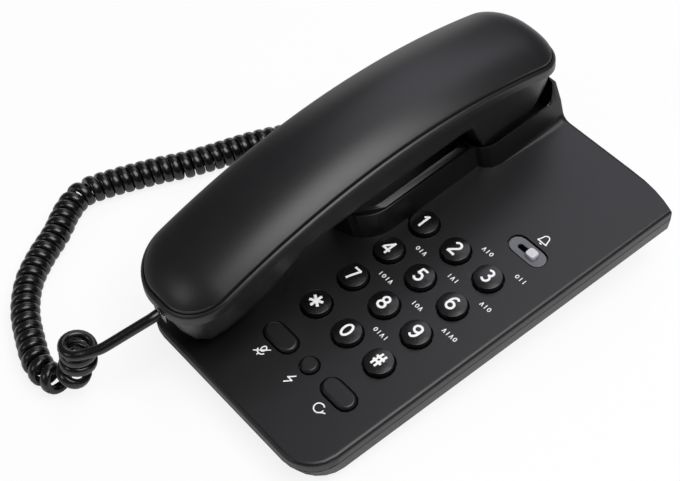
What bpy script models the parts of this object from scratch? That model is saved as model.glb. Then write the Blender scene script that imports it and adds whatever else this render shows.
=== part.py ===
"""Corded desk telephone: a flat keypad base with a raised cradle at its left, an arched handset
that lies in the cradle, and a curly cord that runs from the handset round to the base's left side.

The deck frame lies on the keypad surface, with its origin at the middle of the base: +X to the
right, +Y to the rear and +Z out of the deck. It is tilted, so that the deck slopes to the user.
"""

import math

import bmesh
import bpy
from mathutils import Matrix, Vector

MM = 0.001

# Base housing, seen from above
BASE_DEPTH = 196.0 * MM
BASE_FRONT_WIDTH = 106.0 * MM
BASE_REAR_WIDTH = 120.6 * MM
FRONT_CORNER_RADIUS = 15.0 * MM
REAR_BOW = 4.8 * MM
REAR_BOW_POWER = 5
DECK_TILT = math.radians(5.0)
DECK_MIDDLE_Y = 2.19 * MM
DECK_MIDDLE_Z = 24.1 * MM

# Base housing, in section
WALL = 2.2 * MM
UPPER_DEPTH = 5.0 * MM
LOWER_DEPTH = 7.6 * MM
FOLD_WIDTH = 2.0 * MM
FOLD_DROP = 1.6 * MM
PARTING_GAP = 0.4 * MM
UNDERCUT_SIDE = 0.9 * MM
UNDERCUT_FRONT = 3.4 * MM
UNDERCUT_REAR = 1.2 * MM

# Wedge under the lower housing, which stands level
WEDGE_HALF_WIDTH = 45.0 * MM
WEDGE_FRONT_Y = -88.0 * MM
WEDGE_REAR_Y = 86.0 * MM
WEDGE_CORNER_RADIUS = 9.0 * MM
WEDGE_DRAFT = 1.0 * MM
WEDGE_HEIGHT = 1.6 * MM

# Cradle block: an island on the deck, round at its front, wider round the ear well at its rear
HANDSET_X = -30.0 * MM
BLOCK_HEIGHT = 10.5 * MM
BLOCK_HALF_WIDTH = 15.0 * MM
BLOCK_FRONT_CENTRE_Y = 3.5 * MM
WELL_RIM = 0.9 * MM
RISE_ANGLE = math.radians(75.0)
RISE_FILLET = 2.0 * MM
RISE_FILLET_REAR = 4.6 * MM
FILLET_START_Y = 30.0 * MM
FILLET_END_Y = 60.0 * MM
FIN_HEIGHT = 18.8 * MM
FIN_SLOPE_WIDTH = 3.6 * MM
FIN_START_Y = 88.5 * MM
FIN_END_Y = 96.0 * MM

# Handset
HANDSET_Y = 0.2 * MM
HANDSET_LENGTH = 200.5 * MM
HANDSET_HALF_WIDTH = 22.2 * MM
HANDSET_FRONT_RADIUS = 18.5 * MM
HANDSET_REAR_RADIUS = 16.0 * MM
CREASE_PEAK = 51.0 * MM
CREASE_PEAK_Y = 3.25 * MM
CREASE_FALL = 16.5 * MM
CREASE_FALL_SPAN = 95.0 * MM
CROWN = 6.5 * MM
BAND = 5.0 * MM
BAND_FLARE = 0.6 * MM
COVER_WALL = 1.8 * MM
SHADOW_STEP = 0.8 * MM
SHADOW_GAP = 0.4 * MM
HANDSET_REST = 0.5 * MM
HANDLE_UNDERSIDE = 26.0 * MM
MOUTH_BLOCK_END = -69.0 * MM
MOUTH_RAMP_END = -39.0 * MM
EAR_RAMP_START = 44.5 * MM
EAR_BLOCK_START = 60.0 * MM
MOUTH_DRAFT = math.tan(math.radians(14.0))
HANDLE_DRAFT = math.tan(math.radians(6.0))
EAR_DRAFT = math.tan(math.radians(6.5))
EAR_END_DRAFT = math.tan(math.radians(24.0))
MOUTH_EDGE = 10.0 * MM
HANDLE_EDGE = 8.0 * MM
EAR_EDGE = 4.0 * MM

# Cradle pockets
WELL_FRONT_Y = 51.5 * MM
WELL_REAR_Y = 96.3 * MM
WELL_HALF_WIDTH = 19.9 * MM
WELL_FRONT_RADIUS = 8.5 * MM
WELL_REAR_RADIUS = 5.0 * MM
RECESS_HALF_WIDTH = 14.3 * MM
RECESS_REAR_Y = 50.4 * MM
RECESS_DEPTH = 1.5 * MM
TROUGH_FLOOR = 1.0 * MM
GROOVE_WIDTH = 0.8 * MM
LEDGE_WIDTH = 1.9 * MM
FLANGE_THICKNESS = 2.0 * MM
FLANGE_ROUND = 0.5 * MM
INSERT_WALL = 1.2 * MM
REAR_RADIUS_SMALL = 1.5 * MM
FIT = 0.3 * MM

# Keypad
KEY_PITCH_X = 19.0 * MM
KEY_PITCH_Y = 19.5 * MM
KEY_COLUMN_X = 14.3 * MM
KEY_LAST_ROW_Y = -44.6 * MM
KEY_RADIUS = 6.4 * MM
KEY_TOP = 2.0 * MM
KEY_DISH = 0.35 * MM
KEY_ROUND = 0.9 * MM
KEY_GAP = 0.6 * MM
KEY_FLANGE = 1.1 * MM
KEY_FLANGE_THICKNESS = 0.9 * MM
KEY_TRAVEL = 1.2 * MM
KEY_STEPS = 16
FUNCTION_ROW_Y = -65.1 * MM
FUNCTION_PITCH = 17.7 * MM
FUNCTION_MIDDLE_X = 15.4 * MM
OBROUND_LENGTH = 17.0 * MM
OBROUND_WIDTH = 8.8 * MM
ROUND_BUTTON_RADIUS = 3.9 * MM
BUTTON_TOP = 1.6 * MM
MAT_THICKNESS = 1.0 * MM
MAT_MARGIN = 7.6 * MM
DOME_RADIUS = 4.2 * MM
DOME_TIP_RADIUS = 2.6 * MM
DOME_HEIGHT = 1.0 * MM
DOME_STEPS = 8
BOARD_THICKNESS = 1.6 * MM
BOARD_MARGIN = 6.0 * MM
BOARD_REAR_Y = 62.0 * MM
CHIP_LENGTH = 14.0 * MM
CHIP_WIDTH = 8.0 * MM
CHIP_HEIGHT = 1.1 * MM
POST_RADIUS = 2.6 * MM
POST_STEPS = 10

# Ringer switch
RINGER_X = 34.0 * MM
RINGER_Y = 35.6 * MM
RINGER_LENGTH = 20.0 * MM
RINGER_WIDTH = 9.4 * MM
RINGER_RECESS = 1.4 * MM
RINGER_SLOT_LENGTH = 11.0 * MM
RINGER_SLOT_WIDTH = 3.0 * MM
BEZEL_THICKNESS = 0.8 * MM
SLIDER_TRAVEL = 5.0 * MM
SLIDER_KNOB_LENGTH = 5.0 * MM
SLIDER_KNOB_WIDTH = 4.6 * MM
SLIDER_KNOB_HEIGHT = 1.5 * MM
SLIDER_STEM_WIDTH = 2.0 * MM
SLIDER_STEM_LENGTH = 4.0 * MM
SLIDER_STEM_DEPTH = 2.8 * MM

# Hook switch
HOOK_Y = 62.8 * MM
PLUNGER_RADIUS = 3.6 * MM
PLUNGER_FLANGE_RADIUS = 4.8 * MM
PLUNGER_FLANGE_THICKNESS = 0.9 * MM
PLUNGER_TRAVEL = 4.0 * MM
HOOK_BODY_SIZE = 13.0 * MM
HOOK_BODY_WALL = 1.2 * MM
ROUND_STEPS = 16

# Ringer sounder in the base
SOUNDER_X = 18.0 * MM
SOUNDER_Y = 66.0 * MM
SOUNDER_RADIUS = 13.5 * MM
SOUNDER_HEIGHT = 4.0 * MM
SOUND_HOLE_RADIUS = 1.4 * MM
SOUND_HOLE_RING = 6.0 * MM

# Screws and feet
SCREW_X = 36.0 * MM
SCREW_FRONT_Y = -80.0 * MM
SCREW_REAR_Y = 50.0 * MM
SCREW_HEAD_RADIUS = 3.0 * MM
SCREW_HEAD_HEIGHT = 2.0 * MM
SCREW_SHANK_RADIUS = 1.5 * MM
SCREW_LENGTH = 7.4 * MM
SCREW_STEPS = 10
BOSS_RADIUS = 4.8 * MM
BOSS_WEB = 2.0 * MM
FOOT_X = 37.5 * MM
FOOT_FRONT_Y = -68.0 * MM
FOOT_REAR_Y = 76.0 * MM
FOOT_RADIUS = 5.5 * MM
FOOT_SEAT = 0.7 * MM

# Sockets and plugs
JACK_WIDTH = 11.4 * MM
JACK_HEIGHT = 8.2 * MM
JACK_DEPTH = 13.0 * MM
CORD_SOCKET_WIDTH = 8.2 * MM
CORD_SOCKET_HEIGHT = 6.6 * MM
LINE_SOCKET_WIDTH = 9.8 * MM
LINE_JACK_WIDTH = 13.0 * MM
SOCKET_DEPTH = 10.5 * MM
JACK_SETBACK = 1.4 * MM
HANDSET_JACK_SETBACK = 4.6 * MM
WINDOW_WIDTH = 9.4 * MM
WINDOW_LOW_Z = 19.8 * MM
WINDOW_HIGH_Z = 27.8 * MM
JACK_LEVEL = -6.7 * MM
CORD_JACK_Y = 55.0 * MM
LINE_JACK_X = 22.0 * MM
HANDSET_JACK_Z = 23.4 * MM
PLUG_WIDTH = 7.6 * MM
PLUG_HEIGHT = 6.0 * MM
PLUG_LENGTH = 11.5 * MM
PLUG_OUTSIDE = 1.6 * MM

# Handset contents
RECEIVER_Y = 73.0 * MM
RECEIVER_Z = 4.8 * MM
RECEIVER_RADIUS = 9.5 * MM
RECEIVER_HEIGHT = 7.5 * MM
MICROPHONE_Y = -76.0 * MM
MICROPHONE_Z = 5.4 * MM
MICROPHONE_RADIUS = 4.85 * MM
MICROPHONE_HEIGHT = 5.0 * MM
BOOT_WALL = 2.0 * MM
EAR_HOLE_RADIUS = 1.3 * MM
EAR_HOLE_RING = 5.5 * MM
MOUTH_HOLE_RADIUS = 1.0 * MM
MOUTH_HOLE_RING = 3.2 * MM
HOLE_STEPS = 8
WEIGHT_LENGTH = 44.0 * MM
WEIGHT_WIDTH = 16.0 * MM
WEIGHT_HEIGHT = 6.0 * MM
HANDSET_SCREW_SPREAD = 9.2 * MM
HANDSET_SCREW_Y = 61.5 * MM
HANDSET_BOSS_RADIUS = 4.3 * MM
HANDSET_POST_RADIUS = 2.6 * MM

# Curly cord
CORD_DIAMETER = 3.7 * MM
CURL_OUTSIDE = 12.7 * MM
FIRST_CURL_RADIUS = 6.1 * MM
CURL_PITCH = 4.45 * MM
CURL_LEAST_GAP = 0.8 * MM
POINTS_PER_CURL = 9
WIDE_CURLS = 1.8
LEAST_SQUEEZE = 0.4
UNWIND_LENGTH = 13.0 * MM
FIRST_CURL_SIDE = Vector((0.94, -0.34, 0))
OVERRUN = 1.0 * MM

# Centre line of the coil, in the level frame, chosen by hand. It starts as an upright curl, bends
# down onto the table, runs round to the left and comes back to the base's left side.
COIL_ROUTE = [Vector(point) * MM for point in (
    (-46.6, -128.4, 27.0), (-46.6, -129.2, 19.0), (-46.4, -132.6, 11.0), (-49.3, -137.6, 7.2),
    (-56.3, -140.2, 6.5), (-64.0, -139.6, 6.4), (-74.0, -136.0, 6.4), (-87.4, -129.8, 6.4),
    (-99.5, -120.3, 6.4), (-108.0, -108.8, 6.4), (-115.0, -96.3, 6.4), (-122.4, -85.8, 6.4),
    (-126.6, -75.2, 6.4), (-124.0, -62.3, 6.4), (-116.4, -41.4, 6.4), (-111.2, -29.6, 6.4),
    (-107.2, -17.6, 6.4), (-104.4, -8.1, 6.4), (-101.2, 1.6, 6.4), (-97.2, 11.0, 6.4), (-92.0, 20.5, 6.4),
    (-86.4, 29.5, 6.6), (-80.5, 38.0, 7.4),
)]

PLASTIC_BLACK = ("black_abs", (0.016, 0.016, 0.018), 0.42, 0.0)
KEY_BLACK = ("key_black", (0.012, 0.012, 0.013), 0.3, 0.0)
SWITCH_GREY = ("switch_grey", (0.33, 0.33, 0.35), 0.45, 0.0)
RUBBER_DARK = ("rubber_dark", (0.02, 0.02, 0.02), 0.8, 0.0)
RUBBER_GREY = ("rubber_grey", (0.2, 0.2, 0.21), 0.75, 0.0)
BOARD_GREEN = ("board_green", (0.02, 0.12, 0.05), 0.45, 0.0)
STEEL = ("steel", (0.5, 0.5, 0.5), 0.35, 1.0)
CAPSULE_METAL = ("capsule_metal", (0.55, 0.55, 0.56), 0.4, 1.0)
CLEAR_PLASTIC = ("clear_plastic", (0.75, 0.76, 0.78), 0.15, 0.0)
CORD_BLACK = ("cord_pvc", (0.012, 0.012, 0.012), 0.25, 0.0)

# Shares of a fold, a rise, a bow, a corner or a height at which the sections have their points
FOLD_SHARES = (0.0, 0.08, 0.3, 0.6, 1.0)
RISE_SHARES = (0.0, 0.35, 0.7, 1.0)
BOW_SHARES = (1.0, 0.62, 0.35, 0.17, 0.05, 0.01)
CROWN_SHARES = (1.0, 0.93, 0.78, 0.45, 0.0, -0.45, -0.78, -0.93, -1.0)
TOP_SHARES = (0.0, 0.05, 0.16, 0.34, 0.6, 1.0)
INNER_SHARES = (0.0, 0.12, 0.4, 1.0)
LEVEL_SHARES = (0.0, 0.35, 0.62, 0.8, 0.92, 1.0)
END_SHARES = (0.0, 0.04, 0.1, 0.2, 0.36, 0.6, 1.0)
INNER_END_SHARES = (0.0, 0.08, 0.3, 1.0)
SECTION_SAMPLES = 60

for old in list(bpy.data.objects):
    bpy.data.objects.remove(old, do_unlink=True)

parts = bpy.data.collections.new("desk_telephone")
cutters = bpy.data.collections.new("cutters")
bpy.context.scene.collection.children.link(parts)
bpy.context.scene.collection.children.link(cutters)

deck = bpy.data.objects.new("deck_frame", None)
deck.location = (0, DECK_MIDDLE_Y, DECK_MIDDLE_Z)
deck.rotation_euler = (DECK_TILT, 0, 0)
parts.objects.link(deck)
DECK_MATRIX = Matrix.Translation(deck.location) @ Matrix.Rotation(DECK_TILT, 4, "X")


def finish_material(finish):
    """One Principled material for each finish."""
    name, colour, roughness, metallic = finish
    material = bpy.data.materials.get(name)
    if material is None:
        material = bpy.data.materials.new(name)
        material.use_nodes = True
        shader = material.node_tree.nodes["Principled BSDF"]
        shader.inputs["Base Color"].default_value = (*colour, 1)
        shader.inputs["Roughness"].default_value = roughness
        shader.inputs["Metallic"].default_value = metallic
        material.diffuse_color = (*colour, 1)
    return material


def add_object(name, data, finish=None, place=(0, 0, 0), parent=deck):
    """A named object in the deck frame, or a cutter where it has no finish."""
    thing = bpy.data.objects.new(name, data)
    thing.location = place
    thing.parent = parent
    if finish is None:
        cutters.objects.link(thing)
        thing.hide_render = True
        thing.display_type = "WIRE"
    else:
        parts.objects.link(thing)
        data.materials.append(finish_material(finish))
    return thing


def mesh_from(shape, name):
    """Close a bmesh into mesh data with its faces pointing out."""
    bmesh.ops.recalc_face_normals(shape, faces=shape.faces)
    data = bpy.data.meshes.new(name)
    shape.to_mesh(data)
    shape.free()
    return data


def add_prism(shape, outline, low, high, flare=0.0):
    """An upright prism on an outline; its top is wider than its foot by the flare on each side."""
    foot = shape.faces.new([shape.verts.new((x, y, low)) for x, y in outline])
    top = bmesh.ops.extrude_face_region(shape, geom=[foot])["geom"]
    verts = [item for item in top if isinstance(item, bmesh.types.BMVert)]
    middle = sum((vert.co for vert in verts), Vector()) / len(verts)
    for vert in verts:
        away = Vector((vert.co.x - middle.x, vert.co.y - middle.y, 0))
        vert.co += away.normalized() * flare if flare else Vector()
        vert.co.z = high


def prism_mesh(name, outline, low, high, flare=0.0):
    shape = bmesh.new()
    add_prism(shape, outline, low, high, flare)
    return mesh_from(shape, name)


def rounded(corners, steps=4):
    """A convex outline whose corners, given as x, y and radius from the right round, are round."""
    points = []
    for index, (x, y, radius) in enumerate(corners):
        corner = Vector((x, y))
        if not radius:
            points.append((x, y))
            continue
        before = (Vector(corners[index - 1][:2]) - corner).normalized()
        after = (Vector(corners[(index + 1) % len(corners)][:2]) - corner).normalized()
        half = before.angle(after) / 2
        away = -(before + after).normalized()
        middle = corner - away * radius / math.sin(half)
        sweep = math.pi - 2 * half
        for step in range(steps + 1):
            turn = Matrix.Rotation(sweep * (step / steps - 0.5), 2)
            points.append(tuple(middle + turn @ away * radius))
    return points


def rectangle(x_low, x_high, y_low, y_high, radius=0.0, steps=4):
    return rounded([(x_high, y_low, radius), (x_high, y_high, radius), (x_low, y_high, radius),
                    (x_low, y_low, radius)], steps)


def circle(x, y, radius, steps):
    turns = [2 * math.pi * step / steps for step in range(steps)]
    return [(x + radius * math.cos(turn), y + radius * math.sin(turn)) for turn in turns]


def obround(x, y, length, width, steps=6):
    """A slot shape that lies along X."""
    half = (length - width) / 2
    points = []
    for side, start in ((1, -90), (-1, 90)):
        for step in range(steps + 1):
            angle = math.radians(start + 180 * step / steps)
            reach = width / 2
            points.append((x + side * half + reach * math.cos(angle), y + reach * math.sin(angle)))
    return points


def turned_mesh(name, profile, steps):
    """A turned solid: the profile runs from the axis at the top down the outer side."""
    shape = bmesh.new()
    verts = [shape.verts.new((radius, 0, height)) for radius, height in profile]
    edges = [shape.edges.new(pair) for pair in zip(verts, verts[1:])]
    bmesh.ops.spin(shape, geom=verts + edges, cent=(0, 0, 0), axis=(0, 0, 1),
                   angle=2 * math.pi, steps=steps, use_merge=True, use_duplicate=False)
    bmesh.ops.remove_doubles(shape, verts=shape.verts, dist=0.00001)
    data = mesh_from(shape, name)
    data.shade_smooth()
    data.set_sharp_from_angle(angle=math.radians(35))
    return data


def loft_mesh(name, rings, smooth_angle=30):
    """A closed skin over rings of equal count, with a face at each end."""
    shape = bmesh.new()
    rows = [[shape.verts.new(point) for point in ring] for ring in rings]
    for low, high in zip(rows, rows[1:]):
        for index in range(len(low)):
            after = (index + 1) % len(low)
            shape.faces.new((low[index], low[after], high[after], high[index]))
    shape.faces.new(rows[0])
    shape.faces.new(rows[-1])
    bmesh.ops.remove_doubles(shape, verts=shape.verts, dist=0.00001)
    bmesh.ops.dissolve_degenerate(shape, edges=shape.edges, dist=0.00001)
    bmesh.ops.connect_verts_nonplanar(shape, angle_limit=0.001, faces=shape.faces)
    data = mesh_from(shape, name)
    data.shade_smooth()
    data.set_sharp_from_angle(angle=math.radians(smooth_angle))
    return data


def combine(thing, other, operation="DIFFERENCE"):
    modifier = thing.modifiers.new(operation.lower(), "BOOLEAN")
    modifier.operation = operation
    modifier.solver = "EXACT"
    modifier.object = other


def box_mesh(name, low, high):
    return prism_mesh(name, rectangle(low[0], high[0], low[1], high[1]), low[2], high[2])


# Base outline: tapered sides and round corners. An inset moves the whole outline inwards.

def base_half_width(y, inset=0.0, front_inset=None, rear_inset=None):
    front = -BASE_DEPTH / 2 + (inset if front_inset is None else front_inset)
    rear = BASE_DEPTH / 2 - (inset if rear_inset is None else rear_inset)
    share = (y + BASE_DEPTH / 2) / BASE_DEPTH
    half = (BASE_FRONT_WIDTH + (BASE_REAR_WIDTH - BASE_FRONT_WIDTH) * share) / 2 - inset
    radius = FRONT_CORNER_RADIUS - inset
    depth = front + radius - y
    if depth > 0:
        half -= radius - math.sqrt(max(radius ** 2 - min(depth, radius) ** 2, 0))
    behind = rear - y
    if behind < REAR_BOW:
        half *= (max(behind, 0) / REAR_BOW) ** (1 / REAR_BOW_POWER)
    return half


def base_outline(inset=0.0, front_inset=None, rear_inset=None, corner_steps=6):
    """The base's plan outline as points, from the front right round to the left."""
    front = -BASE_DEPTH / 2 + (inset if front_inset is None else front_inset)
    rear = BASE_DEPTH / 2 - (inset if rear_inset is None else rear_inset)
    radius = FRONT_CORNER_RADIUS - inset
    depths = [front + radius * (1 - math.cos(math.pi / 2 * step / corner_steps))
              for step in range(corner_steps + 1)]
    depths += [rear - REAR_BOW * share for share in BOW_SHARES]
    right = [(base_half_width(y, inset, front_inset, rear_inset), y) for y in depths]
    return right + [(-x, y) for x, y in reversed(right)]


def edge_drop(inset):
    """How far the rounded fold lies below the surface, at an inset from the outline."""
    share = min(max((FOLD_WIDTH - inset) / FOLD_WIDTH, 0), 1)
    return FOLD_DROP * (1 - math.sqrt(1 - share ** 2))


def smooth_step(share):
    share = min(max(share, 0), 1)
    return share * share * (3 - 2 * share)


def rise_profile(y):
    """Offsets and heights of the concave rise, from its foot on the deck to the block's edge."""
    radius = RISE_FILLET + (RISE_FILLET_REAR - RISE_FILLET) * smooth_step(
        (y - FILLET_START_Y) / (FILLET_END_Y - FILLET_START_Y))
    reach = BLOCK_HEIGHT / math.tan(RISE_ANGLE) + radius * math.tan(RISE_ANGLE / 2)
    turns = [RISE_ANGLE * share for share in RISE_SHARES]
    rise = [(reach - radius * math.sin(turn), radius * (1 - math.cos(turn))) for turn in turns]
    return rise + [(0.0, BLOCK_HEIGHT)]


def block_half_width(y):
    """Half the block's width at its top edge: the trough's, or the ear well's with its rim."""
    well = 0.0
    if y > WELL_FRONT_Y:
        depth = max(WELL_FRONT_Y + WELL_FRONT_RADIUS - y, 0)
        corner = WELL_FRONT_RADIUS - math.sqrt(WELL_FRONT_RADIUS ** 2 - depth ** 2)
        well = WELL_HALF_WIDTH + WELL_RIM - corner
    return max(BLOCK_HALF_WIDTH, well)


def block_offset(y, away):
    """Distance from the block's middle line to a contour that lies outside its edge by some way."""
    before = BLOCK_FRONT_CENTRE_Y - y
    if before <= 0:
        return block_half_width(y) + away
    return math.sqrt(max((BLOCK_HALF_WIDTH + away) ** 2 - before ** 2, 0))


def fin_height(y):
    """Height of the block away from its edges; it rises to a thin wall behind the ear well."""
    return BLOCK_HEIGHT + (FIN_HEIGHT - BLOCK_HEIGHT) * smooth_step(
        (y - FIN_START_Y) / (FIN_END_Y - FIN_START_Y))


def middle_height(y):
    """Height of the block on its middle line, which falls to the deck in front of the round end."""
    away = BLOCK_FRONT_CENTRE_Y - BLOCK_HALF_WIDTH - y
    if away <= 0:
        return fin_height(y)
    profile = rise_profile(y)
    for (far, low), (near, high) in zip(profile, profile[1:]):
        if near <= away <= far:
            return low + (high - low) * (far - away) / (far - near)
    return 0.0


def base_stations():
    """Depths of the sections: the folds, the corners, the block's round front and its rear wall."""
    front = -BASE_DEPTH / 2
    rear = BASE_DEPTH / 2
    folds = [share * FOLD_WIDTH for share in FOLD_SHARES]
    depths = [front + fold for fold in folds]
    depths += [front + FOLD_WIDTH + (FRONT_CORNER_RADIUS - FOLD_WIDTH) * share
               for share in (0.18, 0.38, 0.62, 1.0)]
    for away, _ in rise_profile(front):
        depths.append(BLOCK_FRONT_CENTRE_Y - BLOCK_HALF_WIDTH - away)
    depths += [BLOCK_FRONT_CENTRE_Y - BLOCK_HALF_WIDTH * share for share in (0.95, 0.82, 0.6, 0.3, 0.0)]
    depths += [FILLET_START_Y, WELL_FRONT_Y]
    depths += [WELL_FRONT_Y + WELL_FRONT_RADIUS * share for share in (0.06, 0.2, 0.5, 1.0)]
    depths += [FIN_START_Y + (FIN_END_Y - FIN_START_Y) * share for share in (0.0, 0.3, 0.5, 0.7)]
    depths += [rear - REAR_BOW * share for share in BOW_SHARES]
    return sorted(depths)


def base_section(y):
    """One section of the upper housing, from the right parting edge over the top to the left."""
    end_inset = min(y + BASE_DEPTH / 2, BASE_DEPTH / 2 - y)
    half = [(base_half_width(y), -UPPER_DEPTH)]
    for share in FOLD_SHARES:
        inset = share * FOLD_WIDTH
        half.append((base_half_width(y, inset, rear_inset=0), -edge_drop(min(inset, end_inset))))
    drop = edge_drop(end_inset)
    limit = half[-1][0]
    right = list(half)
    left = [(-x, z) for x, z in reversed(half)]
    fin = max(block_offset(y, 0) - FIN_SLOPE_WIDTH, 0)
    island = [(block_offset(y, away), z) for away, z in rise_profile(y)] + [(fin, fin_height(y))]
    top = middle_height(y)
    for offset, z in island:
        right.append((min(HANDSET_X + offset, limit), min(z, top) - drop))
    for offset, z in reversed(island):
        left.insert(len(left) - len(half), (max(HANDSET_X - offset, -limit), min(z, top) - drop))
    return [(x, y, z) for x, z in right + left]


def key_places():
    """Name and place of each key of the number pad, from the top row down."""
    rows = (("1", "2", "3"), ("4", "5", "6"), ("7", "8", "9"), ("star", "0", "hash"))
    places = {}
    for row, labels in enumerate(rows):
        for column, label in enumerate(labels):
            x = KEY_COLUMN_X + (column - 1) * KEY_PITCH_X
            y = KEY_LAST_ROW_Y + (len(rows) - 1 - row) * KEY_PITCH_Y
            places["key_" + label] = (x, y)
    return places


KEYS = key_places()
MUTE_X = FUNCTION_MIDDLE_X - FUNCTION_PITCH
REDIAL_X = FUNCTION_MIDDLE_X + FUNCTION_PITCH
BOARD_TOP = -WALL - FIT - KEY_FLANGE_THICKNESS - KEY_TRAVEL - FIT - DOME_HEIGHT - MAT_THICKNESS - FIT
PAD_LEFT = KEY_COLUMN_X - KEY_PITCH_X - MAT_MARGIN
PAD_RIGHT = KEY_COLUMN_X + KEY_PITCH_X + MAT_MARGIN
PAD_FRONT = FUNCTION_ROW_Y - MAT_MARGIN
PAD_REAR = KEY_LAST_ROW_Y + 3 * KEY_PITCH_Y + MAT_MARGIN
BOARD_LEFT = PAD_LEFT - BOARD_MARGIN
BOARD_RIGHT = PAD_RIGHT + BOARD_MARGIN
BOARD_FRONT = PAD_FRONT - BOARD_MARGIN
LOWER_FLOOR = -UPPER_DEPTH - LOWER_DEPTH
CORD_JACK_X = -base_half_width(CORD_JACK_Y)
LINE_JACK_Y = BASE_DEPTH / 2


def post_places():
    """Where the posts stand that carry the circuit board."""
    inset = POST_RADIUS + FIT
    return [(x, y) for x in (BOARD_LEFT + inset, BOARD_RIGHT - inset)
            for y in (BOARD_FRONT + inset, BOARD_REAR_Y - inset)]


def trough_outline(inset):
    """The trough's outline in plan, round at its front, moved inwards from the recess's edge."""
    half = RECESS_HALF_WIDTH - inset
    front = BLOCK_FRONT_CENTRE_Y - half
    rear = RECESS_REAR_Y - inset
    round_front = half - FIT / 2
    return rounded([(HANDSET_X + half, front, round_front), (HANDSET_X + half, rear, REAR_RADIUS_SMALL),
                    (HANDSET_X - half, rear, REAR_RADIUS_SMALL), (HANDSET_X - half, front, round_front)], 6)


def build_upper_housing():
    """Deck, folded edges and cradle block in one moulding, open below."""
    housing = add_object("upper_housing", loft_mesh("upper_housing",
                         [base_section(y) for y in base_stations()]), PLASTIC_BLACK)

    inside = bmesh.new()
    add_prism(inside, base_outline(WALL, corner_steps=3), -UPPER_DEPTH - OVERRUN, -WALL)
    combine(housing, add_object("upper_inside", mesh_from(inside, "upper_inside")))

    posts = bmesh.new()
    for x, y in post_places():
        add_prism(posts, circle(x, y, POST_RADIUS, POST_STEPS), BOARD_TOP + FIT, -WALL / 2)
    for x in (-SCREW_X, SCREW_X):
        for y in (SCREW_FRONT_Y, SCREW_REAR_Y):
            add_prism(posts, circle(x, y, BOSS_RADIUS, POST_STEPS), LOWER_FLOOR + WALL + BOSS_WEB, -WALL / 2)
    combine(housing, add_object("upper_posts", mesh_from(posts, "upper_posts")), "UNION")

    holes = bmesh.new()
    for x, y in KEYS.values():
        add_prism(holes, circle(x, y, KEY_RADIUS + KEY_GAP, KEY_STEPS), -WALL - OVERRUN, OVERRUN)
    for x in (MUTE_X, REDIAL_X):
        slot = obround(x, FUNCTION_ROW_Y, OBROUND_LENGTH + 2 * KEY_GAP, OBROUND_WIDTH + 2 * KEY_GAP)
        add_prism(holes, slot, -WALL - OVERRUN, OVERRUN)
    add_prism(holes, circle(FUNCTION_MIDDLE_X, FUNCTION_ROW_Y, ROUND_BUTTON_RADIUS + KEY_GAP, KEY_STEPS),
              -WALL - OVERRUN, OVERRUN)
    add_prism(holes, obround(RINGER_X, RINGER_Y, RINGER_LENGTH, RINGER_WIDTH), -RINGER_RECESS, OVERRUN)
    for x in (-SCREW_X, SCREW_X):
        for y in (SCREW_FRONT_Y, SCREW_REAR_Y):
            add_prism(holes, circle(x, y, SCREW_SHANK_RADIUS + FIT, SCREW_STEPS),
                      LOWER_FLOOR, -WALL - FIT)
    combine(housing, add_object("upper_holes", mesh_from(holes, "upper_holes")))

    recess = prism_mesh("flange_recess", trough_outline(0), BLOCK_HEIGHT - RECESS_DEPTH, BLOCK_HEIGHT + OVERRUN)
    combine(housing, add_object("flange_recess", recess))

    right = HANDSET_X + WELL_HALF_WIDTH
    left = HANDSET_X - WELL_HALF_WIDTH
    well = rounded([(right, WELL_FRONT_Y, WELL_FRONT_RADIUS), (right, WELL_REAR_Y, WELL_REAR_RADIUS),
                    (left, WELL_REAR_Y, WELL_REAR_RADIUS), (left, WELL_FRONT_Y, WELL_FRONT_RADIUS)])
    pockets = bmesh.new()
    add_prism(pockets, well, 0, FIN_HEIGHT + OVERRUN)
    add_prism(pockets, trough_outline(LEDGE_WIDTH), TROUGH_FLOOR, BLOCK_HEIGHT - RECESS_DEPTH / 2)
    combine(housing, add_object("cradle_pockets", mesh_from(pockets, "cradle_pockets")))
    slots = bmesh.new()
    add_prism(slots, obround(RINGER_X, RINGER_Y, RINGER_SLOT_LENGTH, RINGER_SLOT_WIDTH),
              -WALL - OVERRUN, OVERRUN)
    add_prism(slots, circle(HANDSET_X, HOOK_Y, PLUNGER_RADIUS + FIT, ROUND_STEPS), -WALL - OVERRUN, OVERRUN)
    combine(housing, add_object("deck_slots", mesh_from(slots, "deck_slots")))

    combine(housing, socket_cutter("upper_cord_notch", CORD_JACK_X, CORD_JACK_Y, -90,
                                   CORD_SOCKET_WIDTH, JACK_WIDTH))
    combine(housing, socket_cutter("upper_line_notch", LINE_JACK_X, LINE_JACK_Y, 180,
                                   LINE_SOCKET_WIDTH, LINE_JACK_WIDTH))
    return housing


def build_cradle_insert():
    """Tray in the trough under the handle; its raised flange is the rim beside the handset."""
    low = BLOCK_HEIGHT - RECESS_DEPTH + FIT
    top = low + FLANGE_THICKNESS
    insert = add_object("cradle_insert", prism_mesh("cradle_insert", trough_outline(GROOVE_WIDTH),
                                                    low, top, -FLANGE_ROUND), PLASTIC_BLACK)
    tray = prism_mesh("tray", trough_outline(LEDGE_WIDTH + FIT), TROUGH_FLOOR + FIT, (low + top) / 2)
    combine(insert, add_object("tray", tray), "UNION")
    hollow = prism_mesh("tray_hollow", trough_outline(LEDGE_WIDTH + FIT + INSERT_WALL),
                        TROUGH_FLOOR + FIT + INSERT_WALL, top + OVERRUN)
    combine(insert, add_object("tray_hollow", hollow))


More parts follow.
